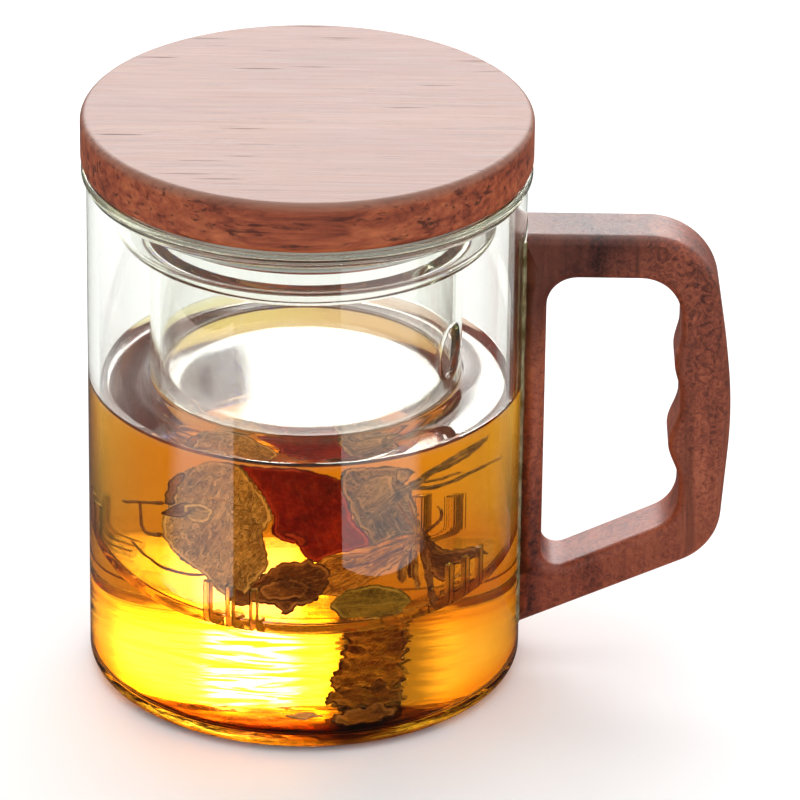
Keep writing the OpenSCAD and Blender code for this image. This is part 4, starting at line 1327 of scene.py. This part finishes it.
# painted dark reflections: a ray that a face has mirrored, and that nothing has scattered, finds the table dark: nearly
# black where it has not passed through glass, and near the object a dim grey where it has. To other rays the table is
# pale.
flp = fm.n("ShaderNodeLightPath")
fgl = fm.math("GREATER_THAN", flp.outputs["Glossy Depth"], None, vb=0.5)
fdf = fm.math("LESS_THAN", flp.outputs["Diffuse Depth"], None, vb=0.5)
ftr = fm.math("LESS_THAN", flp.outputs["Transmission Depth"], None, vb=0.5)
fin = fm.math("MULTIPLY", fgl.outputs[0], fdf.outputs[0])
fmk = fm.math("MULTIPLY", fin.outputs[0], ftr.outputs[0])
fsep = fm.n("ShaderNodeSeparateXYZ")
fm.link(fm.n("ShaderNodeTexCoord"), "Object", fsep, 0)
frr = fm.math("SQRT", fm.math("ADD", fm.math("MULTIPLY", fsep.outputs["X"], fsep.outputs["X"]).outputs[0], fm.math("MULTIPLY", fsep.outputs["Y"], fsep.outputs["Y"]).outputs[0]).outputs[0])
fnear = fm.math("MAXIMUM", fm.range(frr, 0, 0.07, 0.11, 1.0, 0.0).outputs["Result"], fm.range(fsep, "Y", 0.05, 0.10, 1.0, 0.0).outputs["Result"])
fin = fm.math("MULTIPLY", fin.outputs[0], fnear.outputs[0])
# painted shadow: close behind the mug, where the tea's own shadow lies, the table as rays through the glass and tea see
# it is painted yellower and a little darker, and on the right also purpler
fthr = fm.math("MULTIPLY", fm.math("GREATER_THAN", flp.outputs["Transmission Depth"], None, vb=0.5).outputs[0], fm.range(frr, 0, 0.10, 0.14, 1.0, 0.0).outputs["Result"])
fc1 = fm.mix(fthr.outputs[0], (1.0, 1.0, 1.0), (1.0, 0.95, 0.62))
fc2 = fm.mix(fm.math("MULTIPLY", fthr.outputs[0], fm.range(fsep, "X", -0.012, 0.008, 0.0, 1.0).outputs["Result"]).outputs[0], (1.0, 1.0, 1.0), (0.90, 0.76, 1.0))
fcol2 = fm.mix(1.0, fm.mix(1.0, fcol.outputs["Color"], fc1.outputs[2], "MULTIPLY").outputs[2], fc2.outputs[2], "MULTIPLY")
fm1 = fm.mix(fin.outputs[0], fcol2.outputs[2], (0.34, 0.32, 0.30))
fmx = fm.mix(fmk.outputs[0], fm1.outputs[2], (0.08, 0.08, 0.08))
fm.t.links.new(fmx.outputs[2], fm.bsdf.inputs["Base Color"])
floor.data.materials.append(fm.m)


def area(name, loc, target, size_x, size_y, radiance, colour=(1, 1, 1), spread=180):
    li = bpy.data.lights.new(name, "AREA")
    li.shape, li.size, li.size_y = "RECTANGLE", size_x, size_y
    li.energy = radiance * math.pi * size_x * size_y
    li.color = colour
    li.spread = math.radians(spread)
    ob = bpy.data.objects.new(name, li)
    scene.collection.objects.link(ob)
    d = Vector(target) - Vector(loc)
    ob.matrix_world = Matrix.Translation(loc) @ d.to_track_quat("-Z", "Y").to_matrix().to_4x4()
    ob.visible_camera = False
    return ob


area("back_soft", (-0.02, 1.15, 0.66), (0, 0, 0.06), 1.3, 0.62, 5.1)
area("top_soft", (0.0, 0.1, 1.5), (0, 0, 0), 1.6, 1.6, 1.05)


def card(name, corners, strength, colour=(1, 1, 1), fade=None, rays=()):
    """A glowing sheet that only the named kinds of ray see. fade = (u0, u1, v0, v1): widths over which it dies off at its four sides."""
    me = bpy.data.meshes.new(name)
    me.from_pydata(corners, [], [tuple(range(len(corners)))])
    layer = me.uv_layers.new(name="UVMap")
    for lp, c in zip(me.loops, ((0, 0), (1, 0), (1, 1), (0, 1))):
        layer.data[lp.index].uv = c
    ob = bpy.data.objects.new(name, me)
    scene.collection.objects.link(ob)
    k = Mat(name)
    k.t.nodes.remove(k.bsdf)
    e = k.n("ShaderNodeEmission")
    e.inputs["Color"].default_value = (*colour, 1)
    e.inputs["Strength"].default_value = strength
    k.link(e, "Emission", k.out, "Surface")
    if fade:
        uvn = k.n("ShaderNodeUVMap", uv_map="UVMap")
        sp = k.n("ShaderNodeSeparateXYZ")
        k.link(uvn, "UV", sp, 0)
        parts = []
        for ax, lo_, hi_ in (("X", fade[0], fade[1]), ("Y", fade[2], fade[3])):
            for w, flip in ((lo_, False), (hi_, True)):
                if w > 0:
                    r = k.n("ShaderNodeMapRange", interpolation_type="SMOOTHSTEP")
                    k.link(sp, ax, r, "Value")
                    for kk, v in (("From Min", 1.0 if flip else 0.0), ("From Max", 1.0 - w if flip else w), ("To Min", 0.0), ("To Max", 1.0)):
                        r.inputs[kk].default_value = v
                    parts.append(r.outputs["Result"])
        acc = parts[0]
        for q in parts[1:]:
            acc = k.math("MULTIPLY", acc, q).outputs[0]
        acc = k.math("MULTIPLY", acc, None, vb=strength).outputs[0]
        k.t.links.new(acc, e.inputs["Strength"])
    k.m.cycles.emission_sampling = "NONE"
    me.materials.append(k.m)
    for kind in ("camera", "diffuse", "glossy", "transmission", "volume_scatter", "shadow"):
        setattr(ob, "visible_" + kind, kind in rays)
    return ob


def polar(az, dist, z):
    """A point at an azimuth from +Y towards +X, in degrees."""
    return (dist * math.sin(math.radians(az)), dist * math.cos(math.radians(az)), z)


def glow_wall(name, dist, z0, z1, az_stops, el_stops, base_stops, afterglow, core_az, core_el, core):
    """A curved lamp wall that only refracted rays see. A soft bright field (az_stops times el_stops, both 0..1, times its peak) lies on a
    base that changes with azimuth; once light has been scattered by a leaf or the table, only the afterglow share of the field is left.
    The core is a cooler patch in the middle of the field, core times as strong in blue."""
    a0, a1 = az_stops[0][0], az_stops[-1][0]
    n, rows = 60, 12
    verts, faces, uv = [], [], []
    for j in range(rows + 1):
        z = z0 + (z1 - z0) * j / rows
        for i in range(n + 1):
            verts.append(polar(a0 + (a1 - a0) * i / n, dist, z))
    for j in range(rows):
        for i in range(n):
            q = j * (n + 1) + i
            faces.append((q, q + 1, q + n + 2, q + n + 1))
    me = bpy.data.meshes.new(name)
    me.from_pydata(verts, [], faces)
    layer = me.uv_layers.new(name="UVMap")
    for lp in me.loops:
        j, i = divmod(lp.vertex_index, n + 1)
        layer.data[lp.index].uv = (i / n, j / rows)
    ob = bpy.data.objects.new(name, me)
    scene.collection.objects.link(ob)
    k = Mat(name)
    k.t.nodes.remove(k.bsdf)
    e = k.n("ShaderNodeEmission")
    k.link(e, "Emission", k.out, "Surface")
    uvn = k.n("ShaderNodeUVMap", uv_map="UVMap")
    sp = k.n("ShaderNodeSeparateXYZ")
    k.link(uvn, "UV", sp, 0)

    def curve(sock, stops, lo_, hi_, top):
        r = k.ramp(sp, sock, [((q - lo_) / (hi_ - lo_), (v / top, v / top, v / top)) for q, v in stops], "EASE")
        return k.math("MULTIPLY", r.outputs["Color"], None, vb=top).outputs[0]

    def height(el):
        return min(max(0.05 + dist * math.tan(math.radians(el)), z0), z1)

    field = k.math("MULTIPLY", curve("X", az_stops, a0, a1, max(v for _, v in az_stops)), curve("Y", [(height(q), v) for q, v in el_stops], z0, z1, 1.0)).outputs[0]
    lp_ = k.n("ShaderNodeLightPath")
    later = k.math("GREATER_THAN", lp_.outputs["Diffuse Depth"], None, vb=0.5)
    share = k.math("MULTIPLY_ADD", later.outputs[0], None, vb=afterglow - 1.0)
    share.inputs[2].default_value = 1.0
    lit = k.math("MULTIPLY", field, share.outputs[0]).outputs[0]
    base = curve("X", base_stops, a0, a1, max(v for _, v in base_stops))
    k.t.links.new(k.math("ADD", lit, base).outputs[0], e.inputs["Strength"])
    e2 = k.n("ShaderNodeEmission")
    e2.inputs["Color"].default_value = (0, 0.02, 1, 1)
    cool = k.math("MULTIPLY", curve("X", core_az, a0, a1, 1.0), curve("Y", [(height(q), v) for q, v in core_el], z0, z1, 1.0)).outputs[0]
    # only light that has been down through the tea and up again carries it: that is the path with the most faces on it
    first = k.math("MULTIPLY", k.math("SUBTRACT", None, later.outputs[0], va=1.0).outputs[0], k.math("GREATER_THAN", lp_.outputs["Transmission Depth"], None, vb=9.5).outputs[0]).outputs[0]
    k.t.links.new(k.math("MULTIPLY", k.math("MULTIPLY", cool, first).outputs[0], None, vb=core).outputs[0], e2.inputs["Strength"])
    both = k.n("ShaderNodeAddShader")
    k.link(e, "Emission", both, 0)
    k.link(e2, "Emission", both, 1)
    k.link(both, 0, k.out, "Surface")
    k.m.cycles.emission_sampling = "NONE"
    me.materials.append(k.m)
    for kind in ("camera", "diffuse", "glossy", "volume_scatter", "shadow"):
        setattr(ob, "visible_" + kind, False)
    return ob


# the lamp wall behind, as it is seen through the glass and the tea, and mirrored by the tea's surface
glow_wall(
    "wall_glow", 0.9, 0.10, 1.6,
    [(-80, 0.0), (-34, 0.0), (-24, 0.6), (-17, 0.0), (-4.8, 0.0), (-3.0, 21), (6, 23), (13, 19), (22, 8), (33, 4.5), (46, 0.0), (80, 0.0)],
    [(6, 0.0), (22, 0.0), (25.5, 1.0), (33, 1.0), (37, 0.06), (52, 0.0), (58, 0.0)],
    [(-80, 1.0), (-50, 1.6), (-26, 1.9), (-17, 0.8), (-9, 0.4), (-7, 1.4), (-5.4, 5.4), (0, 4.0), (14, 6.0), (30, 5.4), (50, 3.6), (80, 1.3)],
    0.06,
    [(-80, 0.0), (-1.5, 0.0), (1.5, 1.0), (11, 1.0), (16, 0.0), (80, 0.0)],
    [(6, 0.0), (24, 0.0), (27, 1.0), (31, 1.0), (35, 0.0), (58, 0.0)],
    320.0,
)

# two strip lights that lie in front: the front of the mug mirrors them as two upright veils. Each is given by its corners in mm, outer side first
veils = {
    "veil_left": ([(-90.0, -36.0), (-38.2 - 12.0, -73.0 - 16.0), (-127.8, -192.0), (-218.0, -88.0)], 2.7),
    "veil_right": ([polar(180 - 17.2, 118, 0)[:2], polar(180 - 58, 118, 0)[:2], polar(180 - 58, 300, 0)[:2], polar(180 - 17.2, 300, 0)[:2]], 2.7),
}
for veil, (pts_, v) in veils.items():
    corners = [(x * MM, y * MM, 0.0006) for x, y in pts_]
    strip = card(veil, corners, v, rays=("glossy",), fade=(0.25 if veil == "veil_left" else 0.0, 0.0 if veil == "veil_left" else 0.3, 0.0, 0.0))
    only = bpy.data.collections.new(veil + "_lit")
    only.objects.link(mug)
    strip.light_linking.receiver_collection = only

# world: bright all round above the horizon, brighter at the right, darker at the left, and dark below it where only reflections look
world = bpy.data.worlds.new("studio")
scene.world = world
world.use_nodes = True
wt = world.node_tree
wt.nodes.clear()
wo = wt.nodes.new("ShaderNodeOutputWorld")
bg = wt.nodes.new("ShaderNodeBackground")
tcw = wt.nodes.new("ShaderNodeTexCoord")
sep = wt.nodes.new("ShaderNodeSeparateXYZ")
wt.links.new(tcw.outputs["Generated"], sep.inputs[0])


def wnode(kind, **sets):
    nd = wt.nodes.new(kind)
    for kk, v in sets.items():
        setattr(nd, kk, v)
    return nd


def wmath(op, a, b=0.0, c=None):
    nd = wnode("ShaderNodeMath", operation=op)
    for i, v in enumerate((a, b, c)):
        if v is None:
            continue
        if isinstance(v, (int, float)):
            nd.inputs[i].default_value = v
        else:
            wt.links.new(v, nd.inputs[i])
    return nd.outputs[0]


def wramp(sock, stops, interp="EASE"):
    r = wnode("ShaderNodeValToRGB")
    r.color_ramp.interpolation = interp
    e = r.color_ramp.elements
    while len(e) < len(stops):
        e.new(0.5)
    for el, (q, v) in zip(e, stops):
        el.position = q
        el.color = (v / 3, v / 3, v / 3, 1)
    wt.links.new(sock, r.inputs["Fac"])
    return wmath("MULTIPLY", r.outputs["Color"], 3.0)


# azimuth from +Y towards +X as 0..1, where 0.5 is straight back
turn = wmath("ARCTAN2", sep.outputs["X"], sep.outputs["Y"])
turn = wmath("MULTIPLY_ADD", turn, 1 / (2 * math.pi), 0.5)


def at(az):
    return az / 360 + 0.5


ring = wramp(turn, [(0.0, 0.70), (at(-120), 0.62), (at(-75), 0.66), (at(-38), 0.70), (at(0), 0.84), (at(30), 1.08), (at(62), 1.04), (at(95), 0.76), (1.0, 0.70)])
overhead = wramp(sep.outputs["Z"], [(0.0, 0.0), (0.6, 0.0), (0.9, 1.0), (1.0, 1.0)])
ring = wmath("ADD", wmath("MULTIPLY", ring, wmath("SUBTRACT", 1.0, overhead)), wmath("MULTIPLY", 0.64, overhead))
up = wramp(wmath("MULTIPLY_ADD", sep.outputs["Z"], 0.5, 0.5), [(0.47, 0.10), (0.505, 1.0)])
wt.links.new(wmath("MULTIPLY", ring, up), bg.inputs["Strength"])
bg.inputs["Color"].default_value = (1, 1, 1, 1)
wt.links.new(bg.outputs[0], wo.inputs[0])

# --------------------------------------------------------------------- camera
cam_data = bpy.data.cameras.new("camera")
cam_data.sensor_fit = "HORIZONTAL"
cam_data.sensor_width = 36
cam_data.lens = 299.27
cam_data.clip_start, cam_data.clip_end = 0.01, 50
cam = bpy.data.objects.new("camera", cam_data)
scene.collection.objects.link(cam)
roll, pitch = math.radians(0.75), math.radians(26.111)
fwd = Vector((0, math.cos(pitch), -math.sin(pitch)))
right0, up0 = Vector((1, 0, 0)), Vector((0, math.sin(pitch), math.cos(pitch)))
right_v = right0 * math.cos(roll) + up0 * math.sin(roll)
up_v = up0 * math.cos(roll) - right0 * math.sin(roll)
m = Matrix((right_v, up_v, -fwd)).transposed().to_4x4()
m.translation = Vector((0.018408, -1.16733, 0.62746))
cam.matrix_world = m
scene.camera = cam

scene.view_settings.view_transform = "Standard"
scene.view_settings.look = "None"
scene.view_settings.exposure = 0
scene.view_settings.gamma = 1
cy = scene.cycles
cy.max_bounces = 64
cy.transmission_bounces = 64
cy.glossy_bounces = 24
cy.diffuse_bounces = 4
cy.transparent_max_bounces = 16
cy.caustics_reflective = True
cy.caustics_refractive = True
cy.blur_glossy = 0.0
cy.sample_clamp_indirect = 26
cy.use_denoising = True
